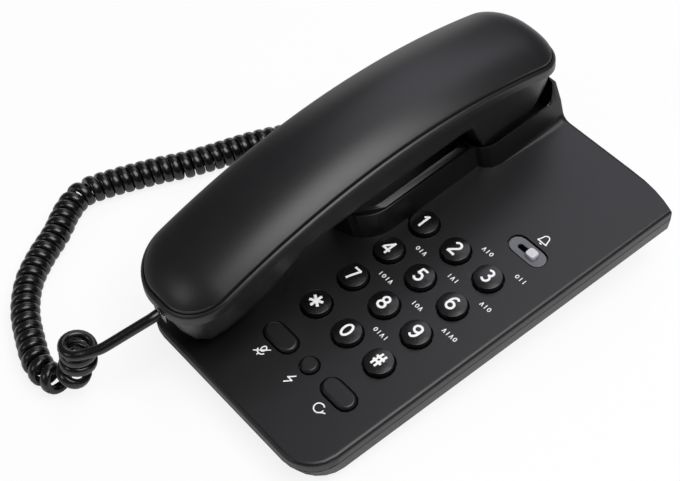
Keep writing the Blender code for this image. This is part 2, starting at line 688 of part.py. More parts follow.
def socket_cutter(name, x, y, turn, socket_width, body_width):
    """The notch that a jack's mouth and its body need in the side walls."""
    half_mouth = socket_width / 2 + FIT
    half_body = body_width / 2 + FIT
    high = JACK_HEIGHT / 2 + FIT
    mouth_high = CORD_SOCKET_HEIGHT / 2 + FIT
    shape = bmesh.new()
    add_prism(shape, rectangle(-half_mouth, half_mouth, -OVERRUN, WALL), -mouth_high, mouth_high)
    cutter = add_object(name, mesh_from(shape, name), None, (x, y, JACK_LEVEL))
    cutter.rotation_euler = (0, 0, math.radians(turn))
    body = bmesh.new()
    setback = JACK_SETBACK - FIT
    add_prism(body, rectangle(-half_body, half_body, setback, JACK_DEPTH + setback + 2 * FIT), -high, high)
    pocket = add_object(name + "_body", mesh_from(body, name + "_body"), None, (x, y, JACK_LEVEL))
    pocket.rotation_euler = (0, 0, math.radians(turn))
    combine(cutter, pocket, "UNION")
    return cutter


def level_to_deck(x, y, z):
    """A point of the level frame, as the deck frame gives it."""
    return DECK_MATRIX.inverted() @ Vector((x, y, z))


def level_height(x, y, level):
    """Height in the deck frame of a level plane, at a place of the deck frame."""
    normal = DECK_MATRIX.to_3x3().transposed() @ Vector((0, 0, 1))
    point = level_to_deck(0, 0, level)
    return point.z - (normal.x * (x - point.x) + normal.y * (y - point.y)) / normal.z


def wedge_ring(inset, level=None):
    """The wedge's outline, at the slab's underside or where it meets a level plane."""
    outline = rectangle(-WEDGE_HALF_WIDTH + inset, WEDGE_HALF_WIDTH - inset, WEDGE_FRONT_Y + inset,
                        WEDGE_REAR_Y - inset, WEDGE_CORNER_RADIUS - inset, 3)
    if level is None:
        return [(x, y, LOWER_FLOOR + WALL / 2) for x, y in outline]
    return [(x, y, level_height(x, y, level)) for x, y in outline]


def build_lower_housing():
    """Shallow pan under the base, with a hollow wedge that stands level on the feet."""
    top = -UPPER_DEPTH - PARTING_GAP
    rings = [
        [(x, y, top) for x, y in base_outline(0)],
        [(x, y, LOWER_FLOOR + UNDERCUT_SIDE) for x, y in
         base_outline(UNDERCUT_SIDE * 0.4, UNDERCUT_FRONT * 0.8, UNDERCUT_REAR * 0.5)],
        [(x, y, LOWER_FLOOR) for x, y in base_outline(UNDERCUT_SIDE, UNDERCUT_FRONT, UNDERCUT_REAR)],
    ]
    housing = add_object("lower_housing", loft_mesh("lower_housing", rings), PLASTIC_BLACK)
    wedge = loft_mesh("wedge", [wedge_ring(0), wedge_ring(WEDGE_DRAFT, WEDGE_HEIGHT)])
    combine(housing, add_object("wedge", wedge), "UNION")

    inside = bmesh.new()
    edge = UNDERCUT_SIDE + WALL
    add_prism(inside, base_outline(edge, UNDERCUT_FRONT + WALL, UNDERCUT_REAR + WALL, 3),
              LOWER_FLOOR + WALL, top + OVERRUN)
    combine(housing, add_object("pan_inside", mesh_from(inside, "pan_inside")))
    hollow_front = WEDGE_FRONT_Y / 3
    hollow_foot = WEDGE_HEIGHT + WALL
    outline = rectangle(-WEDGE_HALF_WIDTH + WALL + WEDGE_DRAFT, WEDGE_HALF_WIDTH - WALL - WEDGE_DRAFT,
                        hollow_front, WEDGE_REAR_Y - WALL - WEDGE_DRAFT, WEDGE_CORNER_RADIUS - WALL, 3)
    hollow = loft_mesh("wedge_inside", [[(x, y, LOWER_FLOOR + WALL + OVERRUN) for x, y in outline],
                                        [(x, y, level_height(x, y, hollow_foot)) for x, y in outline]])
    combine(housing, add_object("wedge_inside", hollow))

    bosses = bmesh.new()
    for x in (-SCREW_X, SCREW_X):
        for y in (SCREW_FRONT_Y, SCREW_REAR_Y):
            low = level_height(x, y, WEDGE_HEIGHT) + WALL / 2
            add_prism(bosses, circle(x, y, BOSS_RADIUS, POST_STEPS), low, LOWER_FLOOR + WALL + BOSS_WEB - FIT)
    combine(housing, add_object("screw_bosses", mesh_from(bosses, "screw_bosses")), "UNION")

    holes = bmesh.new()
    for x in (-SCREW_X, SCREW_X):
        for y in (SCREW_FRONT_Y, SCREW_REAR_Y):
            low = level_height(x, y, 0) - OVERRUN
            add_prism(holes, circle(x, y, SCREW_HEAD_RADIUS + FIT, SCREW_STEPS), low, LOWER_FLOOR + WALL)
    combine(housing, add_object("head_recesses", mesh_from(holes, "head_recesses")))
    shanks = bmesh.new()
    for x in (-SCREW_X, SCREW_X):
        for y in (SCREW_FRONT_Y, SCREW_REAR_Y):
            add_prism(shanks, circle(x, y, SCREW_SHANK_RADIUS + FIT, SCREW_STEPS),
                      LOWER_FLOOR, top + OVERRUN)
    for step in range(6):
        angle = math.pi / 3 * step
        x = SOUNDER_X + SOUND_HOLE_RING * math.cos(angle)
        y = SOUNDER_Y + SOUND_HOLE_RING * math.sin(angle)
        low = level_height(x, y, 0) - OVERRUN
        add_prism(shanks, circle(x, y, SOUND_HOLE_RADIUS, HOLE_STEPS), low,
                  level_height(x, y, hollow_foot) + OVERRUN)
    combine(housing, add_object("shank_holes", mesh_from(shanks, "shank_holes")))

    for number, (x, y) in enumerate(foot_places()):
        seat = turned_mesh("foot_seat", [(0, FOOT_SEAT + FIT), (FOOT_RADIUS + FIT, FOOT_SEAT + FIT),
                                         (FOOT_RADIUS + FIT, -OVERRUN), (0, -OVERRUN)], ROUND_STEPS)
        combine(housing, add_object("foot_seat_%d" % number, seat, None, (x, y, WEDGE_HEIGHT), None))

    combine(housing, socket_cutter("lower_cord_notch", CORD_JACK_X, CORD_JACK_Y, -90,
                                   CORD_SOCKET_WIDTH, JACK_WIDTH))
    combine(housing, socket_cutter("lower_line_notch", LINE_JACK_X, LINE_JACK_Y, 180,
                                   LINE_SOCKET_WIDTH, LINE_JACK_WIDTH))
    return housing


def foot_places():
    """Places of the four feet in the level frame."""
    return [(x, DECK_MIDDLE_Y + y) for y in (FOOT_FRONT_Y, FOOT_REAR_Y) for x in (-FOOT_X, FOOT_X)]


def build_feet():
    top = WEDGE_HEIGHT + FOOT_SEAT
    chamfer = FOOT_SEAT / 2
    profile = [(0, top), (FOOT_RADIUS, top), (FOOT_RADIUS, chamfer), (FOOT_RADIUS - chamfer, 0), (0, 0)]
    names = ("foot_front_left", "foot_front_right", "foot_rear_left", "foot_rear_right")
    for name, (x, y) in zip(names, foot_places()):
        add_object(name, turned_mesh(name, profile, ROUND_STEPS), RUBBER_DARK, (x, y, 0), None)


def screw_mesh(name):
    """A pan-head screw that points up, with its head's underside at zero."""
    return turned_mesh(name, [(0, SCREW_LENGTH), (SCREW_SHANK_RADIUS, SCREW_LENGTH), (SCREW_SHANK_RADIUS, 0),
                              (SCREW_HEAD_RADIUS, 0), (SCREW_HEAD_RADIUS, -SCREW_HEAD_HEIGHT / 2),
                              (SCREW_HEAD_RADIUS / 2, -SCREW_HEAD_HEIGHT), (0, -SCREW_HEAD_HEIGHT)],
                       SCREW_STEPS)


def build_base_screws():
    seat = LOWER_FLOOR + WALL - FIT
    places = {"front_left": (-SCREW_X, SCREW_FRONT_Y), "front_right": (SCREW_X, SCREW_FRONT_Y),
              "rear_left": (-SCREW_X, SCREW_REAR_Y), "rear_right": (SCREW_X, SCREW_REAR_Y)}
    for corner, (x, y) in places.items():
        name = "base_screw_" + corner
        add_object(name, screw_mesh(name), STEEL, (x, y, seat))


def build_keys():
    """Twelve round keys, each dished on top and held by a flange under the deck."""
    flange = -WALL - FIT
    foot = flange - KEY_FLANGE_THICKNESS
    profile = [(0, KEY_TOP - KEY_DISH), (KEY_RADIUS * 0.6, KEY_TOP - KEY_DISH * 0.5),
               (KEY_RADIUS - KEY_ROUND, KEY_TOP), (KEY_RADIUS, KEY_TOP - KEY_ROUND), (KEY_RADIUS, flange),
               (KEY_RADIUS + KEY_FLANGE, flange), (KEY_RADIUS + KEY_FLANGE, foot), (0, foot)]
    for name, (x, y) in KEYS.items():
        add_object(name, turned_mesh(name, profile, KEY_STEPS), KEY_BLACK, (x, y, 0))


def button_mesh(name, outline_at):
    """A button lofted from its flange under the deck to its rounded top."""
    flange = -WALL - FIT
    heights = ((flange - KEY_FLANGE_THICKNESS, KEY_FLANGE), (flange, KEY_FLANGE), (flange, 0),
               (BUTTON_TOP - KEY_ROUND, 0), (BUTTON_TOP, -KEY_ROUND))
    return loft_mesh(name, [[(x, y, z) for x, y in outline_at(grow)] for z, grow in heights])


def build_function_buttons():
    def long_outline(grow):
        return obround(0, 0, OBROUND_LENGTH + 2 * grow, OBROUND_WIDTH + 2 * grow)

    def round_outline(grow):
        return circle(0, 0, ROUND_BUTTON_RADIUS + grow, KEY_STEPS)

    for name, x, outline_at in (("mute_button", MUTE_X, long_outline),
                                ("flash_button", FUNCTION_MIDDLE_X, round_outline),
                                ("redial_button", REDIAL_X, long_outline)):
        add_object(name, button_mesh(name, outline_at), KEY_BLACK, (x, FUNCTION_ROW_Y, 0))


def build_keypad_mat():
    """Rubber sheet with one dome under each key and button."""
    low = BOARD_TOP + FIT
    high = low + MAT_THICKNESS
    mat = add_object("keypad_mat", prism_mesh("keypad_mat", rectangle(PAD_LEFT, PAD_RIGHT, PAD_FRONT, PAD_REAR),
                                              low, high), RUBBER_GREY)
    domes = bmesh.new()
    spots = list(KEYS.values()) + [(x, FUNCTION_ROW_Y) for x in (MUTE_X, FUNCTION_MIDDLE_X, REDIAL_X)]
    for x, y in spots:
        add_prism(domes, circle(x, y, DOME_RADIUS, DOME_STEPS), high - MAT_THICKNESS / 2, high + DOME_HEIGHT,
                  DOME_TIP_RADIUS - DOME_RADIUS)
    combine(mat, add_object("domes", mesh_from(domes, "domes")), "UNION")


def build_circuit_board():
    """Board under the keypad, with its chips on the lower side and a rear end for the ringer switch."""
    board = add_object("circuit_board", prism_mesh("circuit_board", rectangle(
        BOARD_LEFT, BOARD_RIGHT, BOARD_FRONT, BOARD_REAR_Y), BOARD_TOP - BOARD_THICKNESS, BOARD_TOP),
        BOARD_GREEN)
    chips = bmesh.new()
    under = BOARD_TOP - BOARD_THICKNESS
    for x, y in ((KEY_COLUMN_X, KEY_LAST_ROW_Y), (KEY_COLUMN_X, KEY_LAST_ROW_Y + 2 * KEY_PITCH_Y),
                 (RINGER_X, RINGER_Y)):
        add_prism(chips, rectangle(x - CHIP_LENGTH / 2, x + CHIP_LENGTH / 2, y - CHIP_WIDTH / 2,
                                   y + CHIP_WIDTH / 2), under - CHIP_HEIGHT, under + BOARD_THICKNESS / 2)
    combine(board, add_object("chips", mesh_from(chips, "chips")), "UNION")
    clear = bmesh.new()
    for y in (SCREW_FRONT_Y, SCREW_REAR_Y):
        add_prism(clear, circle(SCREW_X, y, BOSS_RADIUS + 2 * FIT, POST_STEPS), under - OVERRUN,
                  BOARD_TOP + OVERRUN)
    combine(board, add_object("board_clearance", mesh_from(clear, "board_clearance")))


def build_ringer_switch():
    """Grey plate in the deck's recess, the slider's knob on it and its stem through the slot."""
    floor = -RINGER_RECESS
    bezel = add_object("ringer_bezel", prism_mesh("ringer_bezel", obround(
        0, 0, RINGER_LENGTH - 2 * FIT, RINGER_WIDTH - 2 * FIT), floor, floor + BEZEL_THICKNESS),
        SWITCH_GREY, (RINGER_X, RINGER_Y, FIT / 3))
    slot = prism_mesh("bezel_slot", obround(0, 0, RINGER_SLOT_LENGTH, RINGER_SLOT_WIDTH),
                      floor - OVERRUN, floor + BEZEL_THICKNESS + OVERRUN)
    combine(bezel, add_object("bezel_slot", slot, None, (RINGER_X, RINGER_Y, 0)))

    foot = floor + BEZEL_THICKNESS + FIT
    knob = rectangle(-SLIDER_KNOB_LENGTH / 2, SLIDER_KNOB_LENGTH / 2, -SLIDER_KNOB_WIDTH / 2,
                     SLIDER_KNOB_WIDTH / 2, SLIDER_KNOB_WIDTH / 4, 2)
    place = (RINGER_X + SLIDER_TRAVEL / 2, RINGER_Y, FIT / 3)
    slider = add_object("ringer_slider", prism_mesh("ringer_slider", knob, foot, foot + SLIDER_KNOB_HEIGHT,
                                                    -FIT), SWITCH_GREY, place)
    stem = prism_mesh("slider_stem", rectangle(-SLIDER_STEM_LENGTH / 2, SLIDER_STEM_LENGTH / 2,
                                               -SLIDER_STEM_WIDTH / 2, SLIDER_STEM_WIDTH / 2),
                      foot - SLIDER_STEM_DEPTH, foot + SLIDER_KNOB_HEIGHT / 2)
    combine(slider, add_object("slider_stem", stem, None, place), "UNION")


def build_hook_switch():
    """The plunger under the ear end, and the switch body that guides it under the well's floor."""
    top = HANDSET_REST - FIT
    flange = -WALL - FIT - PLUNGER_TRAVEL
    foot = flange - PLUNGER_FLANGE_THICKNESS
    profile = [(0, top), (PLUNGER_RADIUS - FIT, top), (PLUNGER_RADIUS, top - FIT), (PLUNGER_RADIUS, flange),
               (PLUNGER_FLANGE_RADIUS, flange), (PLUNGER_FLANGE_RADIUS, foot), (0, foot)]
    add_object("hook_plunger", turned_mesh("hook_plunger", profile, ROUND_STEPS), KEY_BLACK,
               (HANDSET_X, HOOK_Y, 0))

    half = HOOK_BODY_SIZE / 2
    low = foot - FIT - HOOK_BODY_WALL
    body = add_object("hook_switch", prism_mesh("hook_switch", rectangle(-half, half, -half, half),
                                                low, -WALL - FIT), SWITCH_GREY, (HANDSET_X, HOOK_Y, 0))
    bore = prism_mesh("hook_bore", circle(0, 0, PLUNGER_FLANGE_RADIUS + FIT, ROUND_STEPS), foot - FIT,
                      -WALL + OVERRUN)
    combine(body, add_object("hook_bore", bore, None, (HANDSET_X, HOOK_Y, 0)))


def build_sounder():
    """Ringer sounder, a disc that lies on the wedge's level floor over its sound holes."""
    low = WEDGE_HEIGHT + WALL + FIT
    high = low + SOUNDER_HEIGHT
    place = DECK_MATRIX @ Vector((SOUNDER_X, SOUNDER_Y, LOWER_FLOOR))
    profile = [(0, high), (SOUNDER_RADIUS * 0.5, high), (SOUNDER_RADIUS, high - SOUNDER_HEIGHT / 2),
               (SOUNDER_RADIUS, low), (0, low)]
    add_object("ringer_sounder", turned_mesh("ringer_sounder", profile, ROUND_STEPS), CAPSULE_METAL,
               (place.x, place.y, 0), None)


def place_jack(name, body_width, socket_width, place, turn, setback=JACK_SETBACK):
    """A modular jack whose mouth faces -Y before it is turned."""
    half = body_width / 2
    high = JACK_HEIGHT / 2
    block = prism_mesh(name, rectangle(-half, half, setback, setback + JACK_DEPTH), -high, high)
    mouth = prism_mesh(name + "_mouth", rectangle(-socket_width / 2, socket_width / 2, -OVERRUN,
                                                  setback + SOCKET_DEPTH),
                       -CORD_SOCKET_HEIGHT / 2, CORD_SOCKET_HEIGHT / 2)
    jack = add_object(name, block, PLASTIC_BLACK, place)
    cutter = add_object(name + "_mouth", mouth, None, place)
    for thing in (jack, cutter):
        thing.rotation_euler = (0, 0, math.radians(turn))
    combine(jack, cutter)


def build_jacks():
    place_jack("cord_jack", JACK_WIDTH, CORD_SOCKET_WIDTH, (CORD_JACK_X, CORD_JACK_Y, JACK_LEVEL), -90)
    place_jack("line_jack", LINE_JACK_WIDTH, LINE_SOCKET_WIDTH, (LINE_JACK_X, LINE_JACK_Y, JACK_LEVEL), 180)
    place_jack("handset_jack", JACK_WIDTH, CORD_SOCKET_WIDTH, (HANDSET_X, HANDSET_JACK_FACE, HANDSET_JACK_Z),
               0, HANDSET_JACK_SETBACK)


# Handset. Its own frame has the deck's directions and lies at its middle, on the deck.

def crease_height(y):
    """Height of the crease that runs round the top cover, which arches over the handle."""
    return CREASE_PEAK - CREASE_FALL * ((y - CREASE_PEAK_Y) / CREASE_FALL_SPAN) ** 2


def handset_half_width(y, inset=0.0, end_inset=None):
    """Half the handset's width at a depth, with round corners, for an outline moved inwards."""
    end_inset = inset if end_inset is None else end_inset
    half = HANDSET_HALF_WIDTH - inset
    front = -HANDSET_LENGTH / 2 + end_inset
    rear = HANDSET_LENGTH / 2 - end_inset
    front_radius = max(HANDSET_FRONT_RADIUS - inset, REAR_RADIUS_SMALL)
    rear_radius = max(HANDSET_REAR_RADIUS - inset, REAR_RADIUS_SMALL)
    for depth, radius in ((front + front_radius - y, front_radius), (y - rear + rear_radius, rear_radius)):
        if depth > 0:
            half -= radius - math.sqrt(max(radius ** 2 - min(depth, radius) ** 2, 0))
    return half


def cap_share(y):
    """How full the crown is at a depth: 1 over the handle, 0 at the two ends."""
    front = (-HANDSET_LENGTH / 2 + HANDSET_FRONT_RADIUS - y) / HANDSET_FRONT_RADIUS
    rear = (y - HANDSET_LENGTH / 2 + HANDSET_REAR_RADIUS) / HANDSET_REAR_RADIUS
    if rear > front:
        return max(1 - min(max(rear, 0), 1) ** 3, 0) ** 0.5
    return max(1 - min(max(front, 0), 1) ** 2.2, 0) ** 0.6


def top_section(y, inset=0.0, drop=0.0, below=0.0):
    """A section of the top cover, from its right lower edge over the crown to the left."""
    half = handset_half_width(y, inset)
    crease = crease_height(y) - drop
    low = crease_height(y) - BAND - below
    flare = 0 if inset else BAND_FLARE
    crown = max(CROWN * cap_share(y), FIT)
    line = [(half * share, crease + crown * (1 - abs(share) ** 2.2) ** 0.8) for share in CROWN_SHARES]
    ring = [(half + flare, low)] + line + [(-half - flare, low)]
    return [(HANDSET_X + x, HANDSET_Y + y, z) for x, z in ring]


def handset_stations(inset, corner_shares, handle_steps):
    """Depths of the sections: close together in the round corners, even along the handle."""
    front = -HANDSET_LENGTH / 2 + inset
    rear = HANDSET_LENGTH / 2 - inset
    depths = [front + HANDSET_FRONT_RADIUS * share for share in corner_shares]
    start = front + HANDSET_FRONT_RADIUS
    end = rear - HANDSET_REAR_RADIUS
    depths += [start + (end - start) * step / handle_steps for step in range(1, handle_steps)]
    return depths + [rear - HANDSET_REAR_RADIUS * share for share in reversed(corner_shares)]


def build_top_cover():
    """Arched upper shell of the handset, with a crowned top inside a crease and a band below it."""
    cover = add_object("handset_top_cover", loft_mesh("handset_top_cover", [
        top_section(y) for y in handset_stations(0, TOP_SHARES, 7)]), PLASTIC_BLACK)
    inside = loft_mesh("top_inside", [top_section(y, COVER_WALL, COVER_WALL * 0.8, OVERRUN)
                                      for y in handset_stations(COVER_WALL, INNER_SHARES, 5)])
    combine(cover, add_object("top_inside", inside))

    posts = bmesh.new()
    foot = HANDSET_REST + SCREW_HEAD_HEIGHT + BOSS_WEB + 2 * FIT
    roof = crease_height(HANDSET_SCREW_Y) + CROWN * 0.72
    for x in (-HANDSET_SCREW_SPREAD, HANDSET_SCREW_SPREAD):
        spot = (HANDSET_X + x, HANDSET_Y + HANDSET_SCREW_Y)
        add_prism(posts, circle(*spot, HANDSET_POST_RADIUS, POST_STEPS), foot, roof)
    combine(cover, add_object("cover_posts", mesh_from(posts, "cover_posts")), "UNION")
    bores = bmesh.new()
    for x in (-HANDSET_SCREW_SPREAD, HANDSET_SCREW_SPREAD):
        spot = (HANDSET_X + x, HANDSET_Y + HANDSET_SCREW_Y)
        add_prism(bores, circle(*spot, SCREW_SHANK_RADIUS + FIT, SCREW_STEPS), foot - OVERRUN,
                  foot + SCREW_LENGTH)
    combine(cover, add_object("post_bores", mesh_from(bores, "post_bores")))
    combine(cover, jack_window("top_window"))


def underside(y):
    """Height of the bottom cover's underside before its edges are rounded."""
    mouth = smooth_step((y - MOUTH_BLOCK_END) / (MOUTH_RAMP_END - MOUTH_BLOCK_END))
    ear = smooth_step((EAR_BLOCK_START - y) / (EAR_BLOCK_START - EAR_RAMP_START))
    return HANDSET_REST + (HANDLE_UNDERSIDE - HANDSET_REST) * min(mouth, ear)


def blend_along(y, mouth_value, handle_value, ear_value):
    """A value that changes from the mouth block to the handle and on to the ear block."""
    mouth = smooth_step((y - MOUTH_BLOCK_END) / (MOUTH_RAMP_END - MOUTH_BLOCK_END))
    ear = smooth_step((EAR_BLOCK_START - y) / (EAR_BLOCK_START - EAR_RAMP_START))
    if y < 0:
        return mouth_value + (handle_value - mouth_value) * mouth
    return ear_value + (handle_value - ear_value) * ear


def edge_inset(y, z):
    """How far the rounded lower edge pulls the bottom cover's outline in at a height."""
    edge = blend_along(y, MOUTH_EDGE, HANDLE_EDGE, EAR_EDGE)
    depth = min(underside(y) + edge - z, edge)
    return edge - math.sqrt(edge ** 2 - depth ** 2) if depth > 0 else 0.0


def side_inset(y, z):
    """How far the bottom cover's sides have moved inwards at a height: draft and rounded edge."""
    draft = blend_along(y, MOUTH_DRAFT, HANDLE_DRAFT, EAR_DRAFT)
    top = crease_height(y) - BAND - SHADOW_GAP
    return SHADOW_STEP + draft * max(top - z, 0) + edge_inset(y, z)


def end_face_inset(y, z):
    """The same for its two ends, of which the rear one leans more to clear the fin."""
    draft = EAR_END_DRAFT if y > 0 else MOUTH_DRAFT
    top = crease_height(math.copysign(HANDSET_LENGTH / 2, y)) - BAND - SHADOW_GAP
    return SHADOW_STEP + draft * max(top - z, 0) + edge_inset(y, z)


def bottom_section(y, wall=0.0, above=0.0):
    """A section of the bottom cover, from its right parting edge down and round to the left."""
    top = crease_height(y) - BAND - SHADOW_GAP
    allowed = HANDSET_LENGTH / 2 - abs(y) - wall
    low = underside(y) + wall
    for step in range(SECTION_SAMPLES + 1):
        height = top + (low - top) * step / SECTION_SAMPLES
        if end_face_inset(y, max(height - wall, underside(y))) > allowed + FIT / 3:
            low = min(top + (low - top) * (step - 1) / SECTION_SAMPLES, top - OVERRUN)
            break
    half = []
    for share in LEVEL_SHARES:
        z = top + (low - top) * share
        level = max(z - wall, underside(y))
        end = min(end_face_inset(y, level), max(allowed, SHADOW_STEP)) + wall
        half.append((handset_half_width(y, side_inset(y, level) + wall, end) - FIT * share / 2, z))
    if above:
        half[0] = (half[0][0], half[0][1] + above)
    ring = half + [(-x, z) for x, z in reversed(half)]
    return [(HANDSET_X + x, HANDSET_Y + y, z) for x, z in ring]


def bottom_stations(wall, dense):
    """Depths of the bottom cover's sections: its two ends and the ramps beside the blocks."""
    front = -HANDSET_LENGTH / 2 + SHADOW_STEP + wall
    rear = HANDSET_LENGTH / 2 - SHADOW_STEP - wall
    end_shares = END_SHARES if dense else INNER_END_SHARES
    depths = [front + HANDSET_FRONT_RADIUS * share for share in end_shares]
    depths += [rear - HANDSET_REAR_RADIUS * share for share in end_shares]
    mouth_shares = (0.0, 0.25, 0.45, 0.65, 0.85, 1.1) if dense else (0.0, 0.5, 1.0)
    ear_shares = (-0.15, 0.1, 0.3, 0.5, 0.7, 0.9, 1.1) if dense else (0.0, 0.35, 0.7, 1.05)
    depths += [MOUTH_BLOCK_END + (MOUTH_RAMP_END - MOUTH_BLOCK_END) * share for share in mouth_shares]
    depths += [EAR_RAMP_START + (EAR_BLOCK_START - EAR_RAMP_START) * share for share in ear_shares]
    return sorted(depths + [0])


HANDSET_JACK_FACE = HANDSET_Y - HANDSET_LENGTH / 2 + end_face_inset(-HANDSET_LENGTH / 2, HANDSET_JACK_Z)


def jack_window(name):
    """Opening in the mouth end for the cord's plug; it notches the top cover's band."""
    half = WINDOW_WIDTH / 2
    face = HANDSET_JACK_FACE
    return add_object(name, box_mesh(name, (HANDSET_X - half, face - 2 * COVER_WALL, WINDOW_LOW_Z),
                                     (HANDSET_X + half, face + HANDSET_JACK_SETBACK, WINDOW_HIGH_Z)))


def build_bottom_cover():
    """Lower shell of the handset: mouth block, handle and ear block, with the sound holes."""
    cover = add_object("handset_bottom_cover", loft_mesh("handset_bottom_cover", [
        bottom_section(y) for y in bottom_stations(0, True)]), PLASTIC_BLACK)
    inside = loft_mesh("bottom_inside", [bottom_section(y, COVER_WALL, OVERRUN)
                                         for y in bottom_stations(COVER_WALL, False)])
    combine(cover, add_object("bottom_inside", inside))

    spots = [(HANDSET_X + x, HANDSET_Y + HANDSET_SCREW_Y) for x in (-HANDSET_SCREW_SPREAD,
                                                                    HANDSET_SCREW_SPREAD)]
    seat = HANDSET_REST + SCREW_HEAD_HEIGHT + FIT
    bosses = bmesh.new()
    for spot in spots:
        add_prism(bosses, circle(*spot, HANDSET_BOSS_RADIUS, POST_STEPS), HANDSET_REST + COVER_WALL / 2,
                  seat + BOSS_WEB)
    combine(cover, add_object("cover_bosses", mesh_from(bosses, "cover_bosses")), "UNION")

    holes = bmesh.new()
    low = HANDSET_REST - OVERRUN
    high = HANDSET_REST + COVER_WALL + OVERRUN
    add_prism(holes, circle(HANDSET_X, HANDSET_Y + RECEIVER_Y, EAR_HOLE_RADIUS, HOLE_STEPS), low, high)
    for step in range(6):
        angle = math.pi / 3 * step
        x = HANDSET_X + EAR_HOLE_RING * math.cos(angle)
        y = HANDSET_Y + RECEIVER_Y + EAR_HOLE_RING * math.sin(angle)
        add_prism(holes, circle(x, y, EAR_HOLE_RADIUS, HOLE_STEPS), low, high)
    for side in (-1, 0, 1):
        add_prism(holes, circle(HANDSET_X + side * MOUTH_HOLE_RING, HANDSET_Y + MICROPHONE_Y,
                                MOUTH_HOLE_RADIUS, HOLE_STEPS), low, high)
    for spot in spots:
        add_prism(holes, circle(*spot, SCREW_HEAD_RADIUS + FIT, SCREW_STEPS), low, seat)
    combine(cover, add_object("sound_holes", mesh_from(holes, "sound_holes")))
    shanks = bmesh.new()
    for spot in spots:
        add_prism(shanks, circle(*spot, SCREW_SHANK_RADIUS + FIT, SCREW_STEPS), low, seat + BOSS_WEB + OVERRUN)
    combine(cover, add_object("cover_shank_holes", mesh_from(shanks, "cover_shank_holes")))
    combine(cover, jack_window("bottom_window"))


def build_handset_contents():
    x = HANDSET_X
    profile = [(0, RECEIVER_HEIGHT), (RECEIVER_RADIUS * 0.45, RECEIVER_HEIGHT),
               (RECEIVER_RADIUS * 0.55, RECEIVER_HEIGHT / 2), (RECEIVER_RADIUS, RECEIVER_HEIGHT / 3),
               (RECEIVER_RADIUS, 0), (0, 0)]
    add_object("receiver_capsule", turned_mesh("receiver_capsule", profile, ROUND_STEPS), CAPSULE_METAL,
               (x, HANDSET_Y + RECEIVER_Y, RECEIVER_Z))
    profile = [(0, MICROPHONE_HEIGHT), (MICROPHONE_RADIUS, MICROPHONE_HEIGHT), (MICROPHONE_RADIUS, 0), (0, 0)]
    add_object("microphone_capsule", turned_mesh("microphone_capsule", profile, ROUND_STEPS), CAPSULE_METAL,
               (x, HANDSET_Y + MICROPHONE_Y, MICROPHONE_Z))
    inner = MICROPHONE_RADIUS + FIT
    outer = inner + BOOT_WALL
    boot = prism_mesh("microphone_boot", circle(0, 0, outer, ROUND_STEPS), 0, MICROPHONE_HEIGHT)
    boot = add_object("microphone_boot", boot, RUBBER_DARK, (x, HANDSET_Y + MICROPHONE_Y, MICROPHONE_Z))
    bore = prism_mesh("boot_bore", circle(0, 0, inner, ROUND_STEPS), -OVERRUN, MICROPHONE_HEIGHT + OVERRUN)
    combine(boot, add_object("boot_bore", bore, None, (x, HANDSET_Y + MICROPHONE_Y, MICROPHONE_Z)))

    low = HANDLE_UNDERSIDE + COVER_WALL + FIT
    weight = rectangle(-WEIGHT_WIDTH / 2, WEIGHT_WIDTH / 2, -WEIGHT_LENGTH / 2, WEIGHT_LENGTH / 2, FIT * 5, 2)
    add_object("handset_weight", prism_mesh("handset_weight", weight, low, low + WEIGHT_HEIGHT), STEEL,
               (x, HANDSET_Y, 0))
    for side, name in ((-1, "handset_screw_left"), (1, "handset_screw_right")):
        add_object(name, screw_mesh(name), STEEL, (x + side * HANDSET_SCREW_SPREAD, HANDSET_Y + HANDSET_SCREW_Y,
                                                   HANDSET_REST + SCREW_HEAD_HEIGHT))


# Cord: two plugs, two leads and the coil between them, in the level frame.

def plug_mesh(name):
    """A modular plug whose nose points to +Y, with its clip's rib along the lower side."""
    half = PLUG_WIDTH / 2
    high = PLUG_HEIGHT / 2
    profile = rectangle(-half, half, -PLUG_OUTSIDE, PLUG_LENGTH - PLUG_OUTSIDE)
    return prism_mesh(name, profile, -high, high, -FIT / 2)


def build_plugs():
    add_object("handset_plug", plug_mesh("handset_plug"), CLEAR_PLASTIC,
               (HANDSET_X, HANDSET_JACK_FACE, HANDSET_JACK_Z))
    plug = add_object("base_plug", plug_mesh("base_plug"), CLEAR_PLASTIC,
                      (CORD_JACK_X, CORD_JACK_Y, JACK_LEVEL))
    plug.rotation_euler = (0, 0, math.radians(-90))


def smooth_points(points, spacing):
    """Points at even steps along a smooth curve through the given ones."""
    dense = []
    ends = [2 * points[0] - points[1]] + points + [2 * points[-1] - points[-2]]
    for before, start, end, after in zip(ends, ends[1:], ends[2:], ends[3:]):
        for step in range(24):
            t = step / 24
            dense.append(0.5 * (2 * start + (end - before) * t
                                + (2 * before - 5 * start + 4 * end - after) * t ** 2
                                + (3 * start - before - 3 * end + after) * t ** 3))
    dense.append(points[-1])
    lengths = [0.0]
    for start, end in zip(dense, dense[1:]):
        lengths.append(lengths[-1] + (end - start).length)
    count = max(int(round(lengths[-1] / spacing)), 2)
    result = []
    index = 0
    for step in range(count + 1):
        wanted = lengths[-1] * step / count
        while index < len(lengths) - 2 and lengths[index + 1] < wanted:
            index += 1
        share = (wanted - lengths[index]) / max(lengths[index + 1] - lengths[index], 1e-12)
        result.append(dense[index].lerp(dense[index + 1], share))
    return result


def lead_points(points):
    """A lead's points: its two ends run straight, and the rest follows a smooth curve."""
    return [points[0]] + smooth_points(points[1:-1], 2 * CORD_DIAMETER) + [points[-1]]


